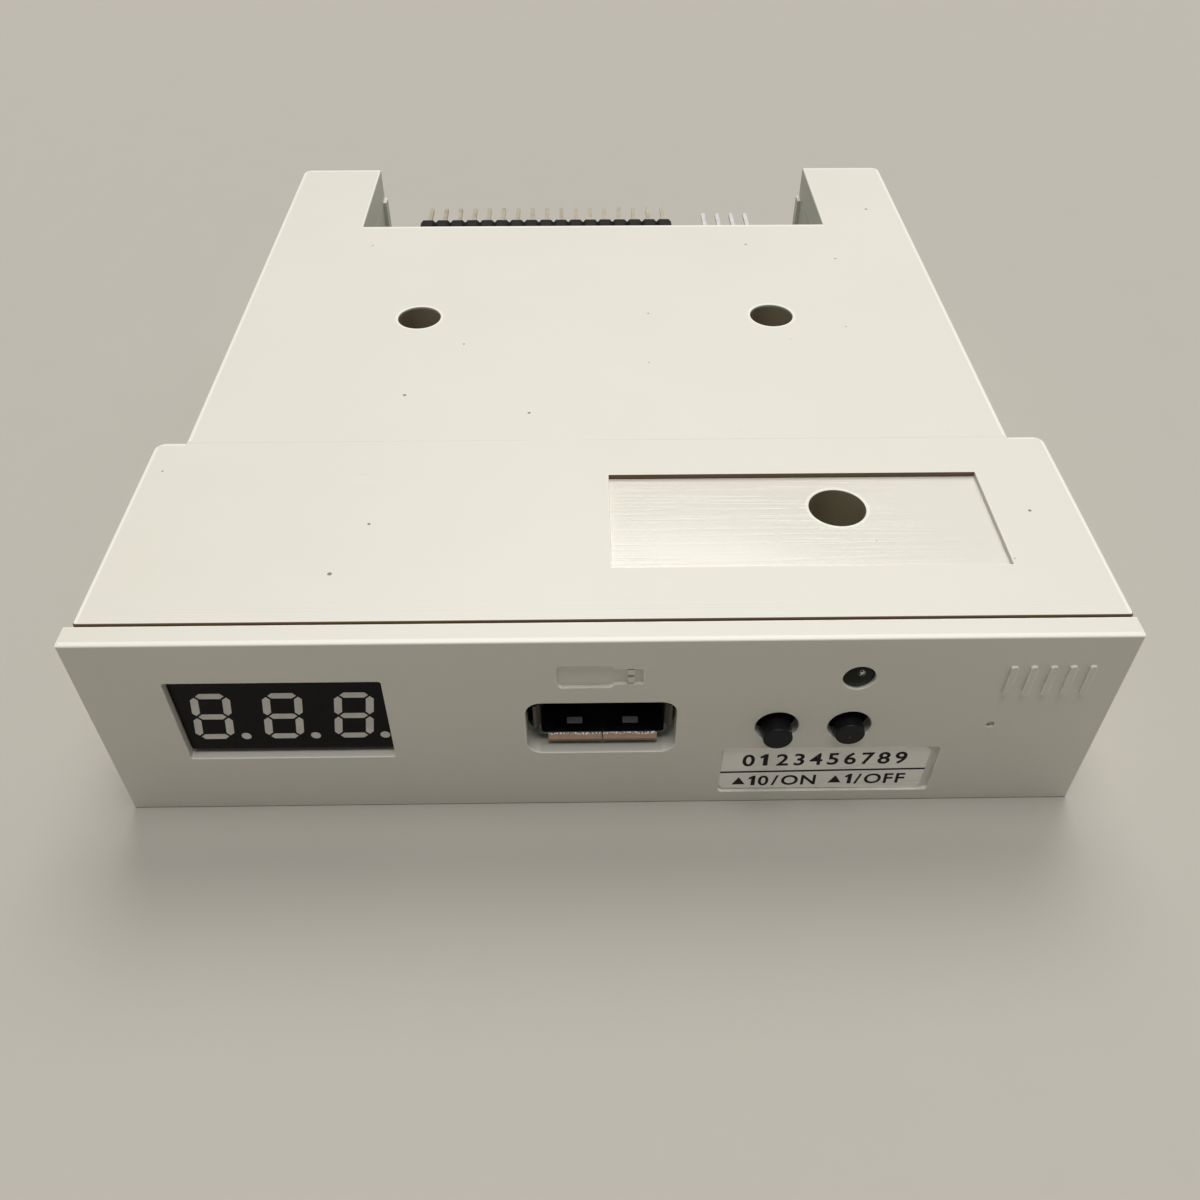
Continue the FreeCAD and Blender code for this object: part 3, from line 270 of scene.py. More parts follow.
def makeDrift(values):  # slow change of colour over a piece
    tree, start, end = newGroup(
        "drift", [("Light", "Color", (1, 1, 1, 1)), ("Deep", "Color", (0, 0, 0, 1)),
                  ("Scale", "Float", 60.0)], [("Colour", "Color")])
    clouds = noise(tree, objectPoint(tree), start.outputs["Scale"], *values["clouds"])
    share = spread(tree, clouds, *values["limits"])
    plug(tree, end.inputs["Colour"],
         mixed(tree, share, start.outputs["Light"], start.outputs["Deep"]))
    return tree


def makeScratches(values):  # hairlines, drawn out along the axis whose stretch is small
    tree, start, end = newGroup(
        "scratches",
        [("Scale", "Float", 400.0), ("Stretch", "Vector", (0.04, 1.0, 1.0)),
         ("Width", "Float", 0.02), ("Share", "Float", 0.5)], [("Mask", "Float")])
    point, scale = objectPoint(tree), start.outputs["Scale"]
    drawn = vectors(tree, "MULTIPLY", point, start.outputs["Stretch"])["Vector"]
    away = gapTo(tree, noise(tree, drawn, scale, values["detail"]), values["middle"])
    line = minus(tree, 1.0, spread(tree, away, 0.0, start.outputs["Width"]))

    # they are seen in patches, larger ones for a larger share
    patches = noise(tree, point, times(tree, scale, values["patchScale"]))
    low = minus(tree, values["patchStart"],
                times(tree, start.outputs["Share"], values["patchGain"]))
    seen = spread(tree, patches, low, plus(tree, low, values["patchBlend"]))
    plug(tree, end.inputs["Mask"], times(tree, line, seen))
    return tree


def makeEdgeWearAndHighlight(values):  # 1 along sharp and rounded edges, broken up
    tree, start, end = newGroup(
        "edgeWearAndHighlight", [("Radius", "Float", 0.2 * mm), ("Scale", "Float", 700.0)], [("Mask", "Float")])
    soft = addNode(tree, "ShaderNodeBevel", {"Radius": start.outputs["Radius"]},
                   samples=values["samples"]).outputs[0]
    agree = vectors(tree, "DOT_PRODUCT", soft, surfaceNormal(tree))["Value"]
    edge = spread(tree, agree, *values["limits"])
    broken = noise(tree, objectPoint(tree), start.outputs["Scale"], values["detail"])
    plug(tree, end.inputs["Mask"],
         times(tree, edge, spread(tree, broken, *values["brokenLimits"])))
    return tree


def makeSpecks(values):  # grains of dust, of different sizes, more of them on what faces up
    tree, start, end = newGroup(
        "specks", [("Scale", "Float", 500.0), ("Size", "Float", 0.12), ("Share", "Float", 0.05)],
        [("Mask", "Float")])
    cells = addNode(tree, "ShaderNodeTexVoronoi",
                    {"Vector": objectPoint(tree), "Scale": start.outputs["Scale"]}).outputs
    chance = addNode(tree, "ShaderNodeSeparateColor", {0: cells["Color"]}).outputs
    reach = times(tree, start.outputs["Size"], chance[0])
    inside = maths(tree, "LESS_THAN", cells["Distance"], reach)
    up = spread(tree, apart(tree, surfaceNormal(tree))["Z"], *values["tilts"], *values["shares"])
    chosen = maths(tree, "LESS_THAN", chance[1], times(tree, start.outputs["Share"], up))
    plug(tree, end.inputs["Mask"], times(tree, inside, chosen))
    return tree


grain = makeGrain(effects["grain"])
drift = makeDrift(effects["drift"])
scratches = makeScratches(effects["scratches"])
edgeWearAndHighlight = makeEdgeWearAndHighlight(effects["edgeWearAndHighlight"])
specks = makeSpecks(effects["specks"])
print("shared effects made")


# what every finish starts from
plainLook = {
    "light": (200, 200, 200), "deep": (190, 190, 190), "driftScale": 60.0,
    "rough": (0.4, 0.5), "metal": 0.0, "coat": 0.0, "coatRough": 0.12, "specular": 0.5,
    "grainScale": 5000.0, "grainDepth": 0.006,  # depths and radii in mm
    "scratchScale": 300.0, "scratchStretch": (0.05, 1.0, 1.0), "scratchWidth": 0.02,
    "scratchShare": 0.3, "scratchDepth": 0.004, "scratchRough": 0.12,
    "scratchShade": 0.15, "scratchTint": (150, 150, 150),
    "wearAndHighlightRadius": 0.0, "wearAndHighlightColour": (255, 255, 255), "wearAndHighlightAmount": 0.3,
    "speckScale": 450.0, "speckSize": 0.14, "speckShare": 0.02, "speckColour": (120, 114, 102),
    "speckCover": 0.85,
}


def makeFinish(name, own):  # returns the material, and the sockets that extra detail builds on
    look = {**plainLook, **own}
    material = bpy.data.materials.new(name)
    material.use_nodes = True
    tree = material.node_tree
    tree.nodes.clear()
    colour = useGroup(tree, drift, light=paint(*look["light"]), deep=paint(*look["deep"]),
                      scale=look["driftScale"]).outputs[0]
    grains = useGroup(tree, grain, scale=look["grainScale"]).outputs
    lines = useGroup(tree, scratches, scale=look["scratchScale"], stretch=look["scratchStretch"],
                     width=look["scratchWidth"], share=look["scratchShare"]).outputs[0]
    tint = mixed(tree, 1.0, colour, paint(*look["scratchTint"]), "MULTIPLY")
    colour = mixed(tree, times(tree, lines, look["scratchShade"]), colour, tint)
    rough = spread(tree, grains["Shade"], 0.0, 1.0, *look["rough"])
    rough = plus(tree, rough, times(tree, lines, look["scratchRough"]))
    # edges take the wear colour: real wear on some finishes, a painted highlight on the case
    if look["wearAndHighlightRadius"]:
        wornAndHighlit = useGroup(tree, edgeWearAndHighlight, radius=look["wearAndHighlightRadius"] * mm).outputs[0]
        colour = tinted(tree, times(tree, wornAndHighlit, look["wearAndHighlightAmount"]), colour, look["wearAndHighlightColour"])
    dust = useGroup(tree, specks, scale=look["speckScale"], size=look["speckSize"],
                    share=look["speckShare"]).outputs[0]
    colour = tinted(tree, times(tree, dust, look["speckCover"]), colour, look["speckColour"])
    height = minus(tree, times(tree, grains["Height"], look["grainDepth"] * mm),
                   times(tree, lines, look["scratchDepth"] * mm))
    relief = addNode(tree, "ShaderNodeBump", {"Strength": 1.0, "Distance": 1.0, "Height": height})
    shader = addNode(tree, "ShaderNodeBsdfPrincipled", {
        "Base Color": colour, "Roughness": rough, "Normal": relief, "Metallic": look["metal"],
        "Coat Weight": look["coat"], "Coat Roughness": look["coatRough"],
        "Specular IOR Level": look["specular"]})
    addNode(tree, "ShaderNodeOutputMaterial", {"Surface": shader})
    sockets = {"colour": shader.inputs["Base Color"], "rough": shader.inputs["Roughness"],
               "clear": shader.inputs["Transmission Weight"], "height": relief.inputs["Height"]}
    return material, {"tree": tree, "sockets": sockets, "grains": grains,
                      "colour": colour, "rough": rough, "height": height}


def refine(parts, **values):  # a finish takes on a piece's own colour, rough, height or clear
    for name, value in values.items():
        plug(parts["tree"], parts["sockets"][name], value)


finishes = {}


# helpers for tints that lie at a place on a piece
def gathered(tree, operation, masks):
    result = masks[0]
    for mask in masks[1:]:
        result = maths(tree, operation, result, mask)
    return result


def product(tree, masks):
    return gathered(tree, "MULTIPLY", masks)


def union(tree, masks):
    return gathered(tree, "MAXIMUM", masks)


def above(tree, socket, level):  # level in mm
    return maths(tree, "GREATER_THAN", socket, level * mm)


def below(tree, socket, level):
    return maths(tree, "LESS_THAN", socket, level * mm)


def between(tree, socket, low, high):
    return times(tree, above(tree, socket, low), below(tree, socket, high))


def inBoxes(tree, place, boxes):  # boxes in mm: x from and to, y from and to
    return union(tree, [
        times(tree, between(tree, place["X"], x0, x1), between(tree, place["Y"], y0, y1))
        for x0, x1, y0, y1 in boxes])


def farFrom(tree, flat, x, y):  # how far a flat place is from a spot in mm
    return vectors(tree, "DISTANCE", flat, (x * mm, y * mm, 0.0))["Value"]


def nearWells(tree, place, wells, more):  # as far as more mm outside each well's radius
    flat = joined(tree, place["X"], place["Y"])
    return union(tree, [
        below(tree, farFrom(tree, flat, x, y), reach + more) for x, y, reach in wells])


# ivory case: smooth matt moulding; the label place is glossier, and mould lines cross the lid
caseLook = {
    "light": (221, 220, 211), "deep": (218, 216, 206), "driftScale": 30.0,
    "rough": (0.42, 0.47), "grainScale": 5200.0, "grainDepth": 0.004,
    "scratchScale": 160.0, "scratchStretch": (0.06, 1.0, 1.0), "scratchWidth": 0.008,
    "scratchShare": 0.15, "scratchDepth": 0.0008, "scratchShade": 0.03,
    # the near-white edge colour is a painted highlight along the case's edges
    "wearAndHighlightRadius": 0.24, "wearAndHighlightColour": (255, 255, 252), "wearAndHighlightAmount": 0.95,
    "speckScale": 260.0, "speckSize": 0.06, "speckShare": 0.6, "speckColour": (84, 76, 64),
    "tilts": {  # of the normal's Z: where a mask is 0, and where it is 1
        "flat": (0.9, 0.98), "steep": (0.75, 0.35), "sunk": (0.92, 0.8),
        "rimLow": (0.2, 0.45), "rimHigh": (0.995, 0.95),
    },
    "lidLevel": 25.2,  # the lid's face is above it, the label place below
    "labelBox": (1.0, 41.3, -48.71, -33.71), "labelRough": 0.12,
    "streaks": {"scale": 1500.0, "stretch": (0.02, 1.0, 1.0), "width": 0.06, "share": 0.8},
    "streakAmounts": (0.05, 0.004),  # in roughness, and in mm
    "mouldLines": (  # place, half width and strength
        (-54.6, 0.06, 0.5), (-54.15, 0.05, 0.45), (-53.35, 0.04, 0.35), (-27.15, 0.09, 1.0),
    ),
    "mouldNoise": (45.0, 2.0), "mouldLimits": (0.3, 0.6),  # what breaks them up
    "mouldColour": (150, 144, 126), "mouldShare": 0.3, "mouldDepth": 0.012,
    "wells": ((25.35, -38.9, 3.05), (-23.27, 0.55, 2.8), (23.27, 0.55, 2.8)),
    # the reach of the painted highlight ring round each well, then where the painted shade inside
    # the wells lies
    "wellHighlightReach": 0.36, "wellSlack": 0.05, "wellLevels": (3.0, 25.1),
    # painted shade inside the wells: paler on walls facing -x, darker on walls facing +x
    "wellShades": ((182, 174, 150), (140, 132, 110)), "wellShadeTurn": (-0.8, 0.5),
    "highlightLines": (  # painted highlight lines beside the edges: x from and to, y from and to
        (-46.8, 46.8, 47.4, 47.85), (-34.5, 34.5, 26.75, 27.25), (46.3, 46.6, -26.9, 47.85),
        (-46.6, -46.3, -26.9, 47.85), (50.3, 50.55, -56.0, -27.4), (-49.95, -49.7, -56.0, -27.4),
        (46.8, 50.55, -27.65, -27.35), (-49.95, -46.8, -27.65, -27.35),
        (-50.6, 50.6, -58.75, -58.35),
    ),
    # painted highlights: on the lines beside the edges and round the wells, then on rounded edges
    "highlightLineColour": (234, 233, 225), "rimHighlightColour": (242, 241, 234), "rimHighlightAmount": 0.9,
    # painted shade, dark brown, in the groove behind the bezel and on the label place's far wall
    "grooves": ((-60.0, 60.0, -56.35, -55.7), (1.0, 41.3, -33.8, -33.6)), "grooveFoot": 20.0,
    "grooveShadeColour": (104, 80, 52),
}


def makeCaseFinish(values):
    material, parts = makeFinish("ivoryCase", values)
    tree, colour, height = parts["tree"], parts["colour"], parts["height"]
    point = objectPoint(tree)
    place, facing = apart(tree, point), apart(tree, surfaceNormal(tree))
    tilt = {name: spread(tree, facing["Z"], *limits) for name, limits in values["tilts"].items()}
    onLid = times(tree, tilt["flat"], above(tree, place["Z"], values["lidLevel"]))

    # the label place is polished along the case's width
    label = product(tree, [tilt["flat"], below(tree, place["Z"], values["lidLevel"]),
                           inBoxes(tree, place, [values["labelBox"]])])
    streakRough, streakDepth = values["streakAmounts"]
    streaks = useGroup(tree, scratches, **values["streaks"]).outputs[0]
    polished = plus(tree, values["labelRough"], times(tree, streaks, streakRough))
    rough = addNode(tree, "ShaderNodeMix", {0: label, 2: parts["rough"], 3: polished},
                    data_type="FLOAT")

    # mould lines come and go
    strokes = [
        spread(tree, gapTo(tree, place["Y"], middle * mm), 0.0, half * mm, strength, 0.0)
        for middle, half, strength in values["mouldLines"]]
    seen = spread(tree, noise(tree, point, *values["mouldNoise"]), *values["mouldLimits"])
    mould = product(tree, [union(tree, strokes), onLid, seen])
    colour = tinted(tree, times(tree, mould, values["mouldShare"]), colour, values["mouldColour"])

    # painted highlight lines beside edges and round the wells, then painted shade inside the wells
    lines = union(tree, [
        times(tree, onLid, inBoxes(tree, place, values["highlightLines"])),
        times(tree, tilt["flat"], nearWells(tree, place, values["wells"], values["wellHighlightReach"]))])
    colour = tinted(tree, lines, colour, values["highlightLineColour"])
    inWell = product(tree, [tilt["steep"], between(tree, place["Z"], *values["wellLevels"]),
                            nearWells(tree, place, values["wells"], values["wellSlack"])])
    turned = spread(tree, facing["X"], *values["wellShadeTurn"])
    shade = mixed(tree, turned, *[paint(*one) for one in values["wellShades"]])
    colour = mixed(tree, inWell, colour, shade)

    # painted highlight on rounded edges; painted shade, dark brown, in the groove behind the bezel
    # and on the label place's far wall
    rimHighlight = product(tree, [tilt["rimLow"], tilt["rimHigh"], values["rimHighlightAmount"]])
    colour = tinted(tree, rimHighlight, colour, values["rimHighlightColour"])
    inGroove = product(tree, [inBoxes(tree, place, values["grooves"]), tilt["sunk"],
                              above(tree, place["Z"], values["grooveFoot"])])
    colour = tinted(tree, inGroove, colour, values["grooveShadeColour"])

    drawn = times(tree, streaks, label)
    for mask, depth in ((mould, values["mouldDepth"]), (drawn, streakDepth)):
        height = minus(tree, height, times(tree, mask, depth * mm))
    refine(parts, colour=colour, rough=rough, height=height)
    return material


finishes["case_plastic"] = makeCaseFinish(caseLook)

blackGrain = {"grainScale": 6000.0, "grainDepth": 0.006, "scratchShare": 0.2, "scratchShade": 0.0,
              "speckColour": (150, 146, 138)}
pinLook = {"driftScale": 500.0, "metal": 1.0, "rough": (0.32, 0.42), "grainDepth": 0.0003,
           "scratchShare": 0.1, "scratchDepth": 0.0, "speckShare": 0.0}
finishLooks = {
    "display_black": {**blackGrain, "light": (7, 8, 10), "deep": (5, 6, 7),
                      "rough": (0.26, 0.34), "grainDepth": 0.002, "specular": 0.12,
                      "speckScale": 700.0, "speckShare": 0.3},
    "segment_grey": {"light": (222, 219, 214), "deep": (205, 202, 196), "driftScale": 700.0,
                     "rough": (0.3, 0.42), "grainDepth": 0.003, "speckShare": 0.01},
    "header_black": {**blackGrain, "light": (9, 9, 10), "deep": (7, 7, 8),
                     "rough": (0.55, 0.68), "specular": 0.14},
    "jumper_black": {**blackGrain, "light": (24, 24, 26), "deep": (17, 17, 18),
                     "rough": (0.3, 0.42)},
    "button_black": {**blackGrain, "light": (12, 15, 18), "deep": (8, 10, 12),
                     "rough": (0.38, 0.5), "specular": 0.22, "wearAndHighlightRadius": 0.15,
                     "wearAndHighlightColour": (46, 50, 56), "wearAndHighlightAmount": 0.4,
                     "speckScale": 900.0, "speckShare": 0.3},
    "chip_black": {**blackGrain, "light": (34, 34, 35), "deep": (27, 27, 28),
                   "rough": (0.5, 0.66), "grainScale": 9000.0},
    "header_white": {"light": (231, 229, 221), "deep": (222, 219, 208), "rough": (0.36, 0.46)},
    "chip_ceramic": {"light": (172, 142, 104), "deep": (150, 121, 86), "driftScale": 400.0,
                     "rough": (0.35, 0.5)},
    "tinned_pin": {**pinLook, "light": (206, 206, 207), "deep": (188, 188, 189)},
    "gold_pin": {**pinLook, "light": (180, 174, 156), "deep": (160, 154, 136)},
    "can_aluminium": {"light": (205, 206, 208), "deep": (184, 185, 187), "metal": 1.0,
                      "rough": (0.24, 0.34), "scratchStretch": (1.0, 1.0, 0.05)},
    "screw_steel": {"light": (176, 174, 170), "deep": (136, 133, 128), "driftScale": 400.0,
                    "metal": 1.0, "rough": (0.28, 0.44), "scratchShare": 0.6,
                    "wearAndHighlightRadius": 0.12, "wearAndHighlightColour": (214, 212, 208)},
    "sticker_paper": {"light": (255, 254, 250), "deep": (252, 250, 244), "driftScale": 150.0,
                      "rough": (0.3, 0.38), "coat": 0.5, "grainScale": 2600.0, "grainDepth": 0.004,
                      "wearAndHighlightRadius": 0.12, "wearAndHighlightColour": (205, 196, 180), "speckSize": 0.05},
}
for slotName, look in finishLooks.items():
    first, second = slotName.split("_")
    finishes[slotName] = makeFinish(first + second.capitalize() + "Finish", look)[0]

# socket shell: drawn steel, coloured darker than bare steel as painted shade for the inside of the
# socket; the flared edge at its foot is bare brown metal with painted glints along it
shellLook = {
    # darker than bare steel: painted shade for the inside of the socket
    "light": (104, 106, 110), "deep": (84, 86, 90), "driftScale": 260.0, "metal": 1.0,
    "rough": (0.28, 0.42), "scratchScale": 900.0, "scratchStretch": (1.0, 0.04, 1.0),
    "scratchShare": 0.6, "speckShare": 0.01,
    "lipStart": -57.42, "lipBlend": 0.04, "lipRagged": 0.16, "lipTop": 10.4,
    "lipColour": (146, 124, 107), "lipRough": 0.18, "sideColour": (96, 92, 86),
    # painted glints: bright flecks along the line where the lip starts
    "lipGlintColour": (236, 232, 226), "lipGlintNoise": (5200.0, 1.0), "lipGlintReach": (0.02, 0.12),
    "lipGlintLimits": (0.5, 0.58),
}


def makeShellFinish(values):
    material, parts = makeFinish("drawnSteel", values)
    tree, start, blend = parts["tree"], values["lipStart"], values["lipBlend"]
    point = objectPoint(tree)
    place = apart(tree, point)
    ragged = times(tree, parts["grains"]["Shade"], values["lipRagged"] * mm)
    depth = plus(tree, place["Y"], ragged)
    lip = spread(tree, depth, (start + blend) * mm, (start - blend) * mm)
    foot = below(tree, place["Z"], values["lipTop"])
    bare = mixed(tree, foot, paint(*values["sideColour"]), paint(*values["lipColour"]))
    # painted glints: bright flecks near the lip's line, low on the shell
    nearLine = spread(tree, gapTo(tree, depth, start * mm),
                      *[reach * mm for reach in values["lipGlintReach"]], 1.0, 0.0)
    flecks = spread(tree, noise(tree, point, *values["lipGlintNoise"]), *values["lipGlintLimits"])
    lipGlints = product(tree, [nearLine, foot, flecks])
    colour = mixed(tree, lip, parts["colour"], bare)
    refine(parts, colour=tinted(tree, lipGlints, colour, values["lipGlintColour"]),
           rough=plus(tree, parts["rough"], times(tree, lip, values["lipRough"])))
    return material


finishes["shell_steel"] = makeShellFinish(shellLook)

# lamp lens: dark smoky green resin with faint rings in its relief; its lighter rings and its glint
# are painted reflections
lensLook = {
    "light": (9, 14, 9), "deep": (6, 9, 6), "rough": (0.05, 0.12), "grainDepth": 0.0005,
    "specular": 0.12, "scratchShare": 0.1, "speckScale": 1600.0, "speckShare": 0.2, "clear": 0.1,
    "axis": (24.8, 19.9), "ringPitch": 0.17, "ringDepth": 0.002,
    # painted reflections: lighter rings round the lens's axis
    "reflectedRingColour": (40, 46, 36), "ringShare": 0.5, "ringLimits": (0.2, 1.0),
    # a painted glint, above the lens's middle
    "glintPlace": (24.98, 20.55), "glintReach": (0.42, 0.126), "glintColour": (226, 232, 224),
    "glintNoise": (5200.0, 1.0), "glintLimits": (0.44, 0.52),
}


def makeLensFinish(values):
    material, parts = makeFinish("tintedLens", values)
    tree = parts["tree"]
    point = objectPoint(tree)
    place = apart(tree, point)
    onFront = joined(tree, place["X"], place["Z"])
    turns = times(tree, farFrom(tree, onFront, *values["axis"]),
                  2 * math.pi / (values["ringPitch"] * mm))
    rings = maths(tree, "SINE", turns)
    relief = times(tree, rings, values["ringDepth"] * mm)
    # painted reflections: lighter rings round the lens's axis
    reflectedRings = spread(tree, rings, *values["ringLimits"], 0.0, values["ringShare"])
    colour = tinted(tree, reflectedRings, parts["colour"], values["reflectedRingColour"])
    # a painted glint, above the lens's middle
    close = spread(tree, farFrom(tree, onFront, *values["glintPlace"]),
                   *[reach * mm for reach in values["glintReach"]])
    flecks = spread(tree, noise(tree, point, *values["glintNoise"]), *values["glintLimits"])
    glint = times(tree, close, flecks)
    refine(parts, colour=tinted(tree, glint, colour, values["glintColour"]),
           height=plus(tree, parts["height"], relief), clear=values["clear"])
    return material


finishes["lamp_lens"] = makeLensFinish(lensLook)

# circuit board: green solder mask over glass cloth, bare at its edges
boardLook = {
    "light": (24, 86, 54), "deep": (19, 72, 46), "driftScale": 90.0, "rough": (0.24, 0.34),
    "coat": 0.4, "grainScale": 2400.0, "grainDepth": 0.003, "scratchShare": 0.2,
    "speckShare": 0.02,
    "clothPitch": 0.5, "clothWave": {"Distortion": 0.6, "Detail": 1.0, "Detail Scale": 1.0},
    "clothBand": 0.314,  # how wide the wave's bands are at a scale of 1
    "clothColour": (44, 118, 78), "clothShare": 0.22, "clothDepth": 0.004,
    "edgeColour": (158, 146, 96), "edgeLevels": (8.42, 9.98),
    "edgeBox": (-45.0, 45.0, -49.0, 51.0), "edgeTilt": (0.5, 0.3),
}


def makeBoardFinish(values):
    material, parts = makeFinish("greenBoard", values)
    tree = parts["tree"]
    point = objectPoint(tree)
    place = apart(tree, point)
    scale = values["clothBand"] / (values["clothPitch"] * mm)
    cloth = product(tree, [
        addNode(tree, "ShaderNodeTexWave", {"Vector": point, "Scale": scale, **values["clothWave"]},
                bands_direction=direction).outputs["Fac"] for direction in ("X", "Y")])
    colour = tinted(tree, times(tree, cloth, values["clothShare"]), parts["colour"],
                    values["clothColour"])
    tilt = maths(tree, "ABSOLUTE", apart(tree, surfaceNormal(tree))["Z"])
    bareEdge = product(tree, [spread(tree, tilt, *values["edgeTilt"]),
                              between(tree, place["Z"], *values["edgeLevels"]),
                              inBoxes(tree, place, [values["edgeBox"]])])
    relief = times(tree, cloth, values["clothDepth"] * mm)
    refine(parts, colour=tinted(tree, bareEdge, colour, values["edgeColour"]),
           height=plus(tree, parts["height"], relief))
    return material


finishes["board_laminate"] = makeBoardFinish(boardLook)

for node in nodes.values():
    slotName = node.data.materials[0].name.split(".")[0]
    for slot in node.material_slots:
        slot.material = finishes[slotName]
print("finishes set:", len(finishes))


# trees for what repeats on the board: solder, vias, tracks, chip parts
treeShapes = {
    "coneSides": 14, "coneRings": 4, "viaSides": 12, "viaTaper": 0.8,
    "coverSink": 0.7,  # how far down a chip part's cover has its middle, in walls
}


def makeFrustumTree(values):  # a low cone with a hollow side, at every point
    tree, start, end = newGrower("frustums", [
        ("Foot Radius", "Float", 0.8 * mm), ("Top Radius", "Float", 0.36 * mm),
        ("Height", "Float", 0.5 * mm), ("Hollow", "Float", 0.25), ("Turn", "Float", 0.0),
        ("Material", "Material")])
    height = start.outputs["Height"]
    cone = addNode(tree, "GeometryNodeMeshCone", {
        "Vertices": values["coneSides"], "Side Segments": values["coneRings"], "Depth": height,
        "Radius Top": start.outputs["Top Radius"], "Radius Bottom": start.outputs["Foot Radius"],
    }, fill_type="NGON")
    place = apart(tree, addNode(tree, "GeometryNodeInputPosition"))
    dip = maths(tree, "SINE", times(tree, maths(tree, "DIVIDE", place["Z"], height), math.pi))
    factor = minus(tree, 1.0, times(tree, dip, start.outputs["Hollow"]))
    shaped = joined(tree, times(tree, place["X"], factor), times(tree, place["Y"], factor),
                    place["Z"])
    fillet = addNode(tree, "GeometryNodeSetPosition", {"Geometry": cone, "Position": shaped})
    many = onPoints(tree, start.outputs["Geometry"], fillet,
                    Rotation=joined(tree, start.outputs["Turn"]))
    ended(tree, end, many, start.outputs["Material"])
    return tree


def makeTrackTree():  # a flat strip along every line
    tree, start, end = newGrower("tracks", [
        ("Width", "Float", 0.3 * mm), ("Thickness", "Float", 0.04 * mm),
        ("Material", "Material")])
    line = addNode(tree, "GeometryNodeMeshToCurve", {"Mesh": start.outputs["Geometry"]})
    level = addNode(tree, "GeometryNodeSetCurveNormal", {"Curve": line}, mode="Z_UP")
    outline = addNode(tree, "GeometryNodeCurvePrimitiveQuadrilateral",
                      {"Width": start.outputs["Width"], "Height": start.outputs["Thickness"]})
    strip = addNode(tree, "GeometryNodeCurveToMesh",
                    {"Curve": level, "Profile Curve": outline, "Fill Caps": True})
    ended(tree, end, strip, start.outputs["Material"])
    return tree


def makeChipTree(values):  # a chip part: body, cover on top, a wrapped metal end on both sides
    tree, start, end = newGrower("chipParts", [
        ("Length", "Float", 2.0 * mm), ("Width", "Float", 1.25 * mm), ("Height", "Float", 0.5 * mm),
        ("End Length", "Float", 0.4 * mm), ("Wall", "Float", 0.04 * mm), ("Turn", "Float", 0.0),
        ("Body Material", "Material"), ("Top Material", "Material"),
        ("End Material", "Material")])
    length, width, height, endLength, wall = [
        start.outputs[name] for name in ("Length", "Width", "Height", "End Length", "Wall")]

    def solid(sizeX, sizeY, sizeZ, x, z, material):
        block = addNode(tree, "GeometryNodeMeshCube", {"Size": joined(tree, sizeX, sizeY, sizeZ)})
        moved = addNode(tree, "GeometryNodeTransform",
                        {"Geometry": block, "Translation": joined(tree, x, z=z)})
        return addNode(tree, "GeometryNodeSetMaterial",
                       {"Geometry": moved, "Material": start.outputs[material]}).outputs[0]

    walls = times(tree, wall, 2.0)
    inner = minus(tree, length, times(tree, endLength, 2.0))
    low = minus(tree, height, walls)
    reach = maths(tree, "DIVIDE", minus(tree, length, endLength), 2.0)
    middle = maths(tree, "DIVIDE", height, 2.0)
    solids = (
        solid(inner, minus(tree, width, walls), low, 0.0, middle, "Body Material"),
        solid(minus(tree, inner, wall), minus(tree, width, times(tree, wall, 4.0)), wall, 0.0,
              minus(tree, height, times(tree, wall, values["coverSink"])), "Top Material"),
        solid(endLength, width, height, reach, middle, "End Material"),
        solid(endLength, width, height, times(tree, reach, -1.0), middle, "End Material"),
    )
    join = addNode(tree, "GeometryNodeJoinGeometry")
    for part in solids:
        tree.links.new(part, join.inputs[0])
    ended(tree, end, onPoints(tree, start.outputs["Geometry"], join,
                              Rotation=joined(tree, z=start.outputs["Turn"])))
    return tree


def makeScatterTree(values):  # vias strewn over the start faces, the same each run
    tree, start, end = newGrower("scatteredVias", [
        ("Gap", "Float", 2.4 * mm), ("Density", "Float", 90000.0), ("Seed", "Int", 4),
        ("Radius", "Float", 0.32 * mm), ("Height", "Float", 0.03 * mm),
        ("Material", "Material")])
    strewn = addNode(tree, "GeometryNodeDistributePointsOnFaces", {
        "Mesh": start.outputs["Geometry"], "Distance Min": start.outputs["Gap"],
        "Density Max": start.outputs["Density"], "Seed": start.outputs["Seed"],
    }, distribute_method="POISSON")
    radius = start.outputs["Radius"]
    pad = addNode(tree, "GeometryNodeMeshCone", {
        "Vertices": values["viaSides"], "Radius Top": times(tree, radius, values["viaTaper"]),
        "Radius Bottom": radius, "Depth": start.outputs["Height"]}, fill_type="NGON")
    ended(tree, end, onPoints(tree, strewn, pad), start.outputs["Material"])
    return tree


frustumTree = makeFrustumTree(treeShapes)
trackTree = makeTrackTree()
chipTree = makeChipTree(treeShapes)
scatterTree = makeScatterTree(treeShapes)

solderFinish = makeFinish("solder", {
    "light": (198, 198, 197), "deep": (168, 168, 168), "driftScale": 900.0, "metal": 1.0,
    "rough": (0.18, 0.34), "grainDepth": 0.002, "speckShare": 0.0})[0]
trackFinish = makeFinish("coveredTrack", {
    "light": (44, 122, 76), "deep": (36, 106, 66), "rough": (0.24, 0.34), "coat": 0.4,
    "grainDepth": 0.002})[0]
glazeFinish = makeFinish("blackGlaze", {
    **blackGrain, "light": (24, 24, 25), "deep": (18, 18, 19), "rough": (0.22, 0.3),
    "grainDepth": 0.001})[0]
aluminaFinish = makeFinish("whiteCeramic", {
    "light": (214, 212, 206), "deep": (202, 199, 192), "rough": (0.4, 0.55)})[0]

boardFaces = {"top": 10.0, "bottom": 8.4}  # in mm


def settle(piece, replaced=None):  # everything here rides on the case
    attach(piece, "enclosure")
    if replaced is not None:
        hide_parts(replaced)


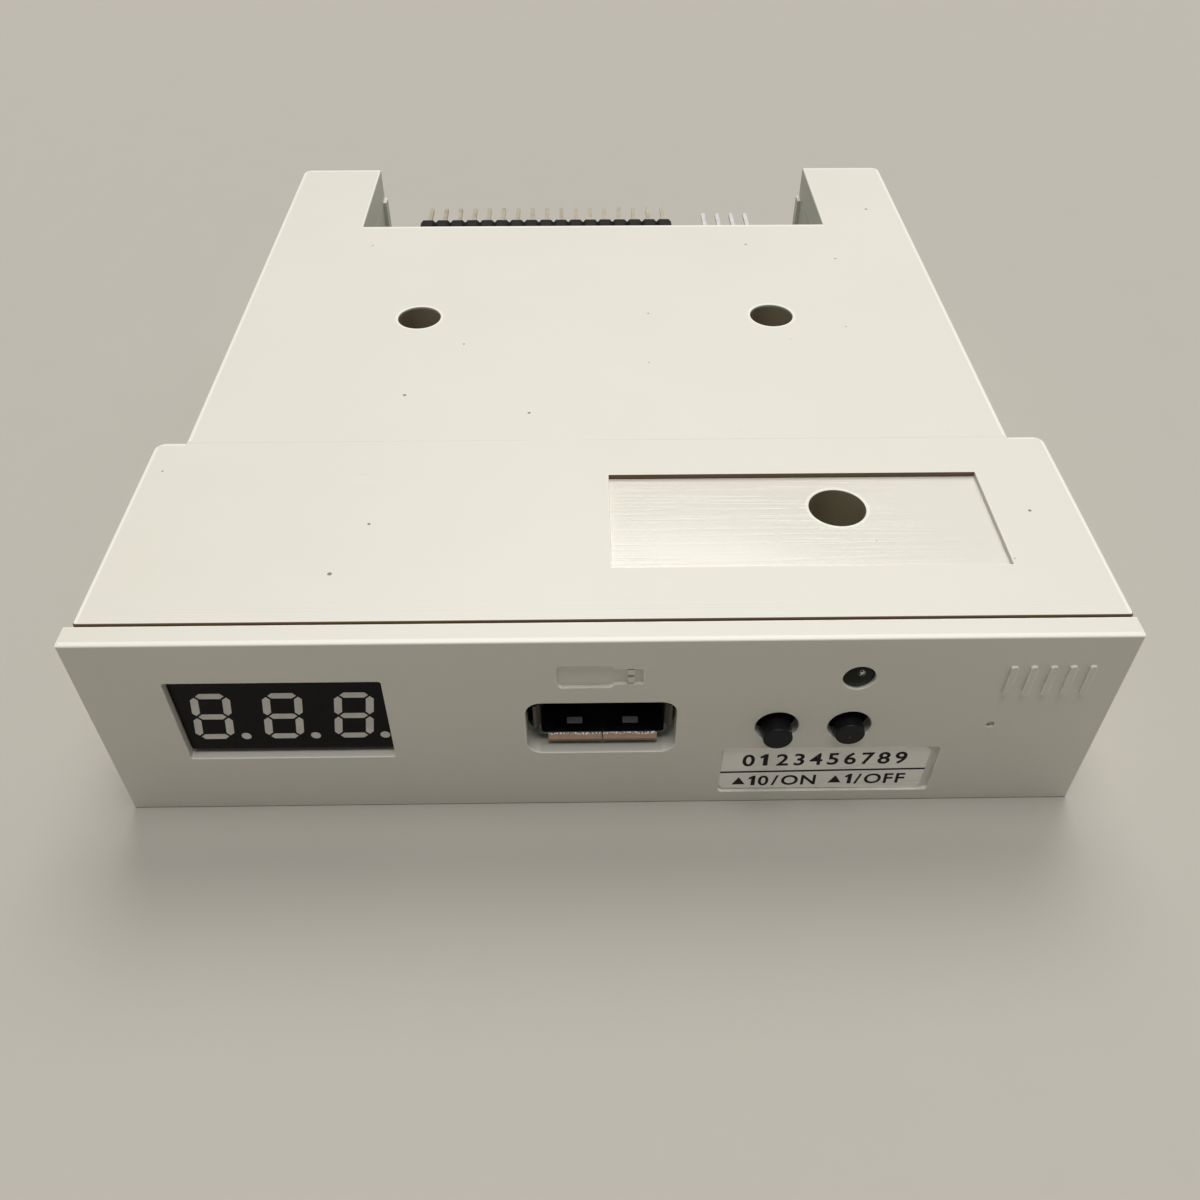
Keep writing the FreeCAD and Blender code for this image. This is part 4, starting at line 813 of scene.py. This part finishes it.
solder = {
    "upright": ("jumper_header_pins", "service_header_pins"),
    "bentBack": ("data_header_pins", "power_header_pins"), "bentForward": ("display_link_pins",),
    "pinHalf": 0.32,
    "joint": {"Foot Radius": 0.82 * mm, "Top Radius": 0.38 * mm, "Height": 0.75 * mm,
              "Hollow": 0.28, "Turn": math.pi},
    "ring": {"Foot Radius": 0.86 * mm, "Top Radius": 0.45 * mm, "Height": 0.16 * mm,
             "Hollow": 0.1, "Turn": 0.0},
}


def throughPins(values):  # where pins pass the board, in mm: those seen from above, and all
    seen, every = [], []
    for name in values["upright"] + values["bentBack"] + values["bentForward"]:
        for low, high in looseParts(name):
            x, y = (low.x + high.x) / 2 / mm, (low.y + high.y) / 2 / mm
            if name in values["bentBack"]:
                y = low.y / mm + values["pinHalf"]
            elif name in values["bentForward"]:
                y = high.y / mm - values["pinHalf"]
            if name not in values["upright"]:
                seen.append((x, y))
            every.append((x, y))
    return seen, every


def makeSolder(values):
    seen, every = throughPins(values)
    for name, places, side, shape in (("solder_joints", every, "bottom", "joint"),
                                      ("solder_rings", seen, "top", "ring")):
        start = pointMesh(flatAt(places, boardFaces[side]))
        settle(grow(name, frustumTree, start, {**values[shape], "Material": solderFinish}))
        print(name, "made:", len(places))


makeSolder(solder)

tracks = {
    "dataColumns": [-28.27 + 2.54 * index for index in range(17)],
    "innerRow": 45.17, "outerRow": 47.71,
    "resistorColumns": [-4.0 + 4.0 * index for index in range(8)],
    "resistorBack": 42.4, "resistorFront": 40.7,
    "straightBefore": -6.0,  # columns left of it run straight to the front
    "hidden": 26.0, "lift": 0.015, "thick": 0.04, "width": 0.32, "halfPitch": 1.27, "shortEnd": 0.9,
    "slantStart": 0.7, "slantMost": 1.9, "powerWidth": 1.5, "powerColumn": 27.48, "powerRow": 46.45,
    "viaRow": 39.8, "viaStep": 0.8, "viaSteps": 3,
    "viaShape": {"Foot Radius": 0.34 * mm, "Top Radius": 0.28 * mm, "Height": 0.05 * mm,
                 "Hollow": 0.0},
    "sideFields": [(-33.0, -29.6, 28.6, 43.5), (29.4, 32.8, 28.6, 44.5)],
    "betweenField": (0.8, 3.2, 28.6, 39.6), "seed": 4,
}


def trackLines(values):
    lines, ends = [], []
    free = list(values["resistorColumns"])
    for index, x in enumerate(values["dataColumns"]):
        straight = x < values["straightBefore"]
        if straight:
            lines.append([(x, values["innerRow"]), (x, values["hidden"])])
        elif index % 2 == 1 and free:
            column = free.pop(0)
            slant = values["innerRow"] - values["slantStart"]
            lines.append([(x, values["innerRow"]), (x, slant),
                          (column, slant - min(abs(column - x), values["slantMost"])),
                          (column, values["resistorBack"])])
        side = x + values["halfPitch"]
        stop = values["viaRow"] + values["viaStep"] * (index % values["viaSteps"])
        if not straight:
            stop = values["innerRow"] - values["shortEnd"]
        lines.append([(x, values["outerRow"]), (side, values["outerRow"] - values["halfPitch"]),
                      (side, stop)])
        ends.append((side, stop))
    for column in values["resistorColumns"]:
        lines.append([(column, values["resistorFront"]), (column, values["hidden"])])
    return lines, ends


def lineMesh(lines, z):
    places, edges = [], []
    for line in lines:
        start = len(places)
        places += line
        edges += [(start + index, start + index + 1) for index in range(len(line) - 1)]
    return pointMesh(flatAt(places, z), edges)


def makeTracks(values):
    top = boardFaces["top"]
    lines, ends = trackLines(values)
    powerX = values["powerColumn"]
    power = [[(powerX, values["powerRow"]), (powerX, values["hidden"])]]
    left, right, front, back = values["betweenField"]
    fields = [(column + left, column + right, front, back)
              for column in values["resistorColumns"][:-1]]
    strips = top + values["lift"]
    for name, tree, start, sizes in (
            ("board_tracks", trackTree, lineMesh(lines, strips),
             {"Thickness": values["thick"] * mm, "Width": values["width"] * mm}),
            ("power_tracks", trackTree, lineMesh(power, strips),
             {"Thickness": values["thick"] * mm, "Width": values["powerWidth"] * mm}),
            ("track_vias", frustumTree, pointMesh(flatAt(ends, top)), values["viaShape"]),
            ("board_vias", scatterTree, boxMesh(fields + values["sideFields"], top),
             {"Seed": values["seed"]})):
        settle(grow(name, tree, start, {**sizes, "Material": trackFinish}))
    print("tracks:", len(lines), "with", len(ends), "vias")


makeTracks(tracks)

chipSize = {"Length": 2.0 * mm, "Width": 1.25 * mm}
chips = {
    "resistors": {**chipSize, "Height": 0.5 * mm, "End Length": 0.35 * mm, "Turn": math.pi / 2,
                  "Body Material": aluminaFinish, "Top Material": glazeFinish},
    "capacitors": {**chipSize, "Height": 0.9 * mm, "End Length": 0.45 * mm, "Turn": 0.0,
                   "Body Material": finishes["chip_ceramic"],
                   "Top Material": finishes["chip_ceramic"]},
}


def makeChips(name, nodeName, sizes):
    parts = looseParts(nodeName)
    feet = pointMesh([((low.x + high.x) / 2, (low.y + high.y) / 2, low.z) for low, high in parts])
    settle(grow(name, chipTree, feet, {**sizes, "End Material": solderFinish}), nodeName)
    print(name, "made:", len(parts))


makeChips("resistor_parts", "chip_resistors", chips["resistors"])
makeChips("capacitor_parts", "chip_capacitors", chips["capacitors"])


# prints: flat shapes laid on the sticker and the board
ownOutlines = {  # for a size of 1: the built-in 1 looks like a bar, and * stands for a triangle
    "1": ((-0.09, 0.0), (0.09, 0.0), (0.09, 0.72), (-0.03, 0.72), (-0.24, 0.55), (-0.17, 0.45),
          (-0.09, 0.51)),
    "*": ((-0.3, 0.09), (0.3, 0.09), (0.0, 0.63)),
}
lettering = {  # for a size of 1
    "bold": 0.02, "pitch": 0.66, "middle": 0.36,  # half of a digit's height
    "curveSteps": 4,
}


def textMesh(text, size):
    curve = bpy.data.curves.new("text", "FONT")
    curve.body = text
    curve.size = size
    curve.align_x = "CENTER"
    curve.offset = lettering["bold"] * size
    curve.resolution_u = lettering["curveSteps"]
    carrier = linked("text", curve)
    bpy.context.view_layer.update()
    return taken(carrier)


def addFrame(shapes, x0, x1, y0, y1, line):
    half = line / 2
    for y in (y0, y1):
        addBox(shapes, x0 - half, x1 + half, y - half, y + half)
    for x in (x0, x1):
        addBox(shapes, x - half, x + half, y0 + half, y1 - half)


def glyphShape(glyph, size):
    if glyph in ownOutlines:
        points = [(x * size, y * size) for x, y in ownOutlines[glyph]]
        return points, [list(range(len(points)))]
    mesh = textMesh(glyph, size)
    points = [(vertex.co.x, vertex.co.y) for vertex in mesh.vertices]
    return points, [list(face.vertices) for face in mesh.polygons]


# centred on x, y: at an even pitch, or with equal gaps
def addText(shapes, text, size, x, y, gap=None):
    glyphs = [glyphShape(glyph, size) for glyph in text]
    lows = [min(point[0] for point in points) for points, faces in glyphs]
    widths = [max(point[0] for point in points) - low for (points, faces), low in zip(glyphs, lows)]
    steps = len(text) - 1
    reach = x if gap is None else x - (sum(widths) + gap * size * steps) / 2
    for index, (points, faces) in enumerate(glyphs):
        if gap is None:
            shift = x + (index - steps / 2) * lettering["pitch"] * size
        else:
            shift = reach - lows[index]
            reach += widths[index] + gap * size
        start = len(shapes["points"])
        shapes["points"] += [(pointX + shift, pointY + y - lettering["middle"] * size)
                             for pointX, pointY in points]
        shapes["faces"] += [[start + corner for corner in face] for face in faces]


def layPrint(name, shapes, lay, material):
    mesh = pointMesh([lay(x, y) for x, y in shapes["points"]], (), shapes["faces"])
    mesh.name = name
    mesh.materials.append(material)
    settle(linked(name, mesh))


stickerPrint = {
    "middle": (23.4, 5.43), "face": -58.65, "proud": 0.012, "tilt": 0.8,
    "rule": (12.5, 34.3, 4.815, 5.085), "digits": "0123456789", "digitSize": 2.7,
    "topRow": 6.95, "lowRow": 3.4, "lowSize": 2.35, "lowGap": 0.13,
    "lowMarks": ((18.35, "*10/ON"), (28.3, "*1/OFF")),
}


def makeStickerPrint(values):
    shapes = newShapes()
    middleX, middleZ = values["middle"]
    addBox(shapes, *values["rule"])
    addText(shapes, values["digits"], values["digitSize"], middleX, values["topRow"])
    for x, text in values["lowMarks"]:
        addText(shapes, text, values["lowSize"], x, values["lowRow"], values["lowGap"])
    turn = math.radians(values["tilt"])

    def lay(x, z):
        dx, dz = x - middleX, z - middleZ
        return ((middleX + dx * math.cos(turn) - dz * math.sin(turn)) * mm,
                (values["face"] - values["proud"]) * mm,
                (middleZ + dx * math.sin(turn) + dz * math.cos(turn)) * mm)

    ink = makeFinish("stickerInk", {**blackGrain, "light": (9, 8, 8), "deep": (15, 13, 13),
                                    "specular": 0.2, "rough": (0.4, 0.5), "grainDepth": 0.002})[0]
    layPrint("sticker_print", shapes, lay, ink)


boardPrint = {
    "height": 10.012, "line": 0.2, "digitSize": 1.5,
    "frames": ((-25.9, -9.7, 32.3, 38.4), (-29.9, 14.0, 43.4, 48.9), (18.2, 29.3, 43.6, 47.1)),
    "numbers": (("1", -31.2, 47.6), ("2", -31.2, 45.0), ("33", 15.9, 47.6), ("34", 15.9, 45.0),
                ("1", 31.0, 45.4)),
    "jumperColumns": (-24.15, 2.54, 6), "jumperRow": 30.9,
}


def makeBoardPrint(values):
    shapes = newShapes()
    for x0, x1, y0, y1 in values["frames"]:
        addFrame(shapes, -x1, -x0, -y1, -y0, values["line"])
    for text, x, y in values["numbers"]:
        addText(shapes, text, values["digitSize"], -x, -y)
    first, pitch, count = values["jumperColumns"]
    for index in range(count):
        x = first + index * pitch
        addText(shapes, str(count - 1 - index), values["digitSize"], -x, -values["jumperRow"])
    ink = makeFinish("boardInk", {"light": (232, 232, 226), "deep": (216, 216, 208),
                                  "rough": (0.5, 0.6), "grainDepth": 0.002, "speckShare": 0.0})[0]

    def lay(x, y):  # turned half round, so it reads from behind
        return (-x * mm, -y * mm, values["height"] * mm)

    layPrint("board_print", shapes, lay, ink)


makeStickerPrint(stickerPrint)
makeBoardPrint(boardPrint)
print("sticker and board printed")


# floor, light and camera
studio = {
    "floorColour": (181, 178, 170), "floorSize": 6000.0,
    "worldColour": (255, 251, 244), "worldStrength": 0.12, "backdrop": (193, 191, 186),
    "lampDistance": 0.6,
    # name, direction that it shines from as azimuth and height, spread, strength, colour
    "lamps": (
        ("backLight", (7, 58), 35, 1.5, (255, 252, 247)),
        ("sideLight", (46, 40), 44, 0.27, (255, 253, 250)),
        ("overheadLight", (172, 84), 30, 1.55, (255, 253, 250)),
    ),
}


def makeFloor(values):
    half = values["floorSize"] / 2
    mesh = boxMesh([(-half, half, -half, half)], 0.0)
    mesh.materials.append(makeFinish("paleFloor", {
        "light": values["floorColour"], "deep": values["floorColour"], "rough": (0.85, 0.95),
        "grainScale": 900.0, "grainDepth": 0.01, "scratchShare": 0.0, "speckShare": 0.0})[0])
    linked("floor", mesh)


def makeWorld(values):
    world = bpy.data.worlds.new("studio")
    bpy.context.scene.world = world
    world.use_nodes = True
    tree = world.node_tree
    tree.nodes.clear()
    rays = addNode(tree, "ShaderNodeLightPath").outputs
    seen = union(tree, [
        rays["Is " + kind + " Ray"] for kind in ("Camera", "Glossy", "Transmission")])
    ambient, backdrop = [
        addNode(tree, "ShaderNodeBackground", {"Color": paint(*colour), "Strength": strength})
        for colour, strength in ((values["worldColour"], values["worldStrength"]),
                                 (values["backdrop"], 1.0))]
    both = addNode(tree, "ShaderNodeMixShader", {0: seen, 1: ambient, 2: backdrop})
    addNode(tree, "ShaderNodeOutputWorld", {"Surface": both})


def makeLamps(values):
    for name, (azimuth, height), wide, strength, colour in values["lamps"]:
        light = bpy.data.lights.new(name, "SUN")
        light.angle = math.radians(wide)
        light.energy = strength
        light.color = paint(*colour)[:3]
        lamp = linked(name, light)
        side, up = math.radians(azimuth), math.radians(height)
        source = Vector((math.sin(side) * math.cos(up), math.cos(side) * math.cos(up),
                         math.sin(up)))
        lamp.location = source * values["lampDistance"]
        lamp.rotation_euler = (-source).to_track_quat("-Z", "Y").to_euler()


makeFloor(studio)
makeWorld(studio)
makeLamps(studio)
bpy.context.scene.view_settings.view_transform = "Standard"

cameraView = {
    "place": (-0.001442, -0.128832, 0.098454), "turn": (45.9251, -0.0726, -0.8507),
    "lens": 32.618, "sensor": 36.0, "nearest": 0.005,
}


def makeCamera(values):
    optics = bpy.data.cameras.new("camera")
    optics.sensor_width = values["sensor"]
    optics.lens = values["lens"]
    optics.clip_start = values["nearest"]
    camera = linked("camera", optics)
    camera.location = values["place"]
    camera.rotation_euler = Euler([math.radians(angle) for angle in values["turn"]], "XYZ")
    bpy.context.scene.camera = camera


makeCamera(cameraView)
print("studio ready")
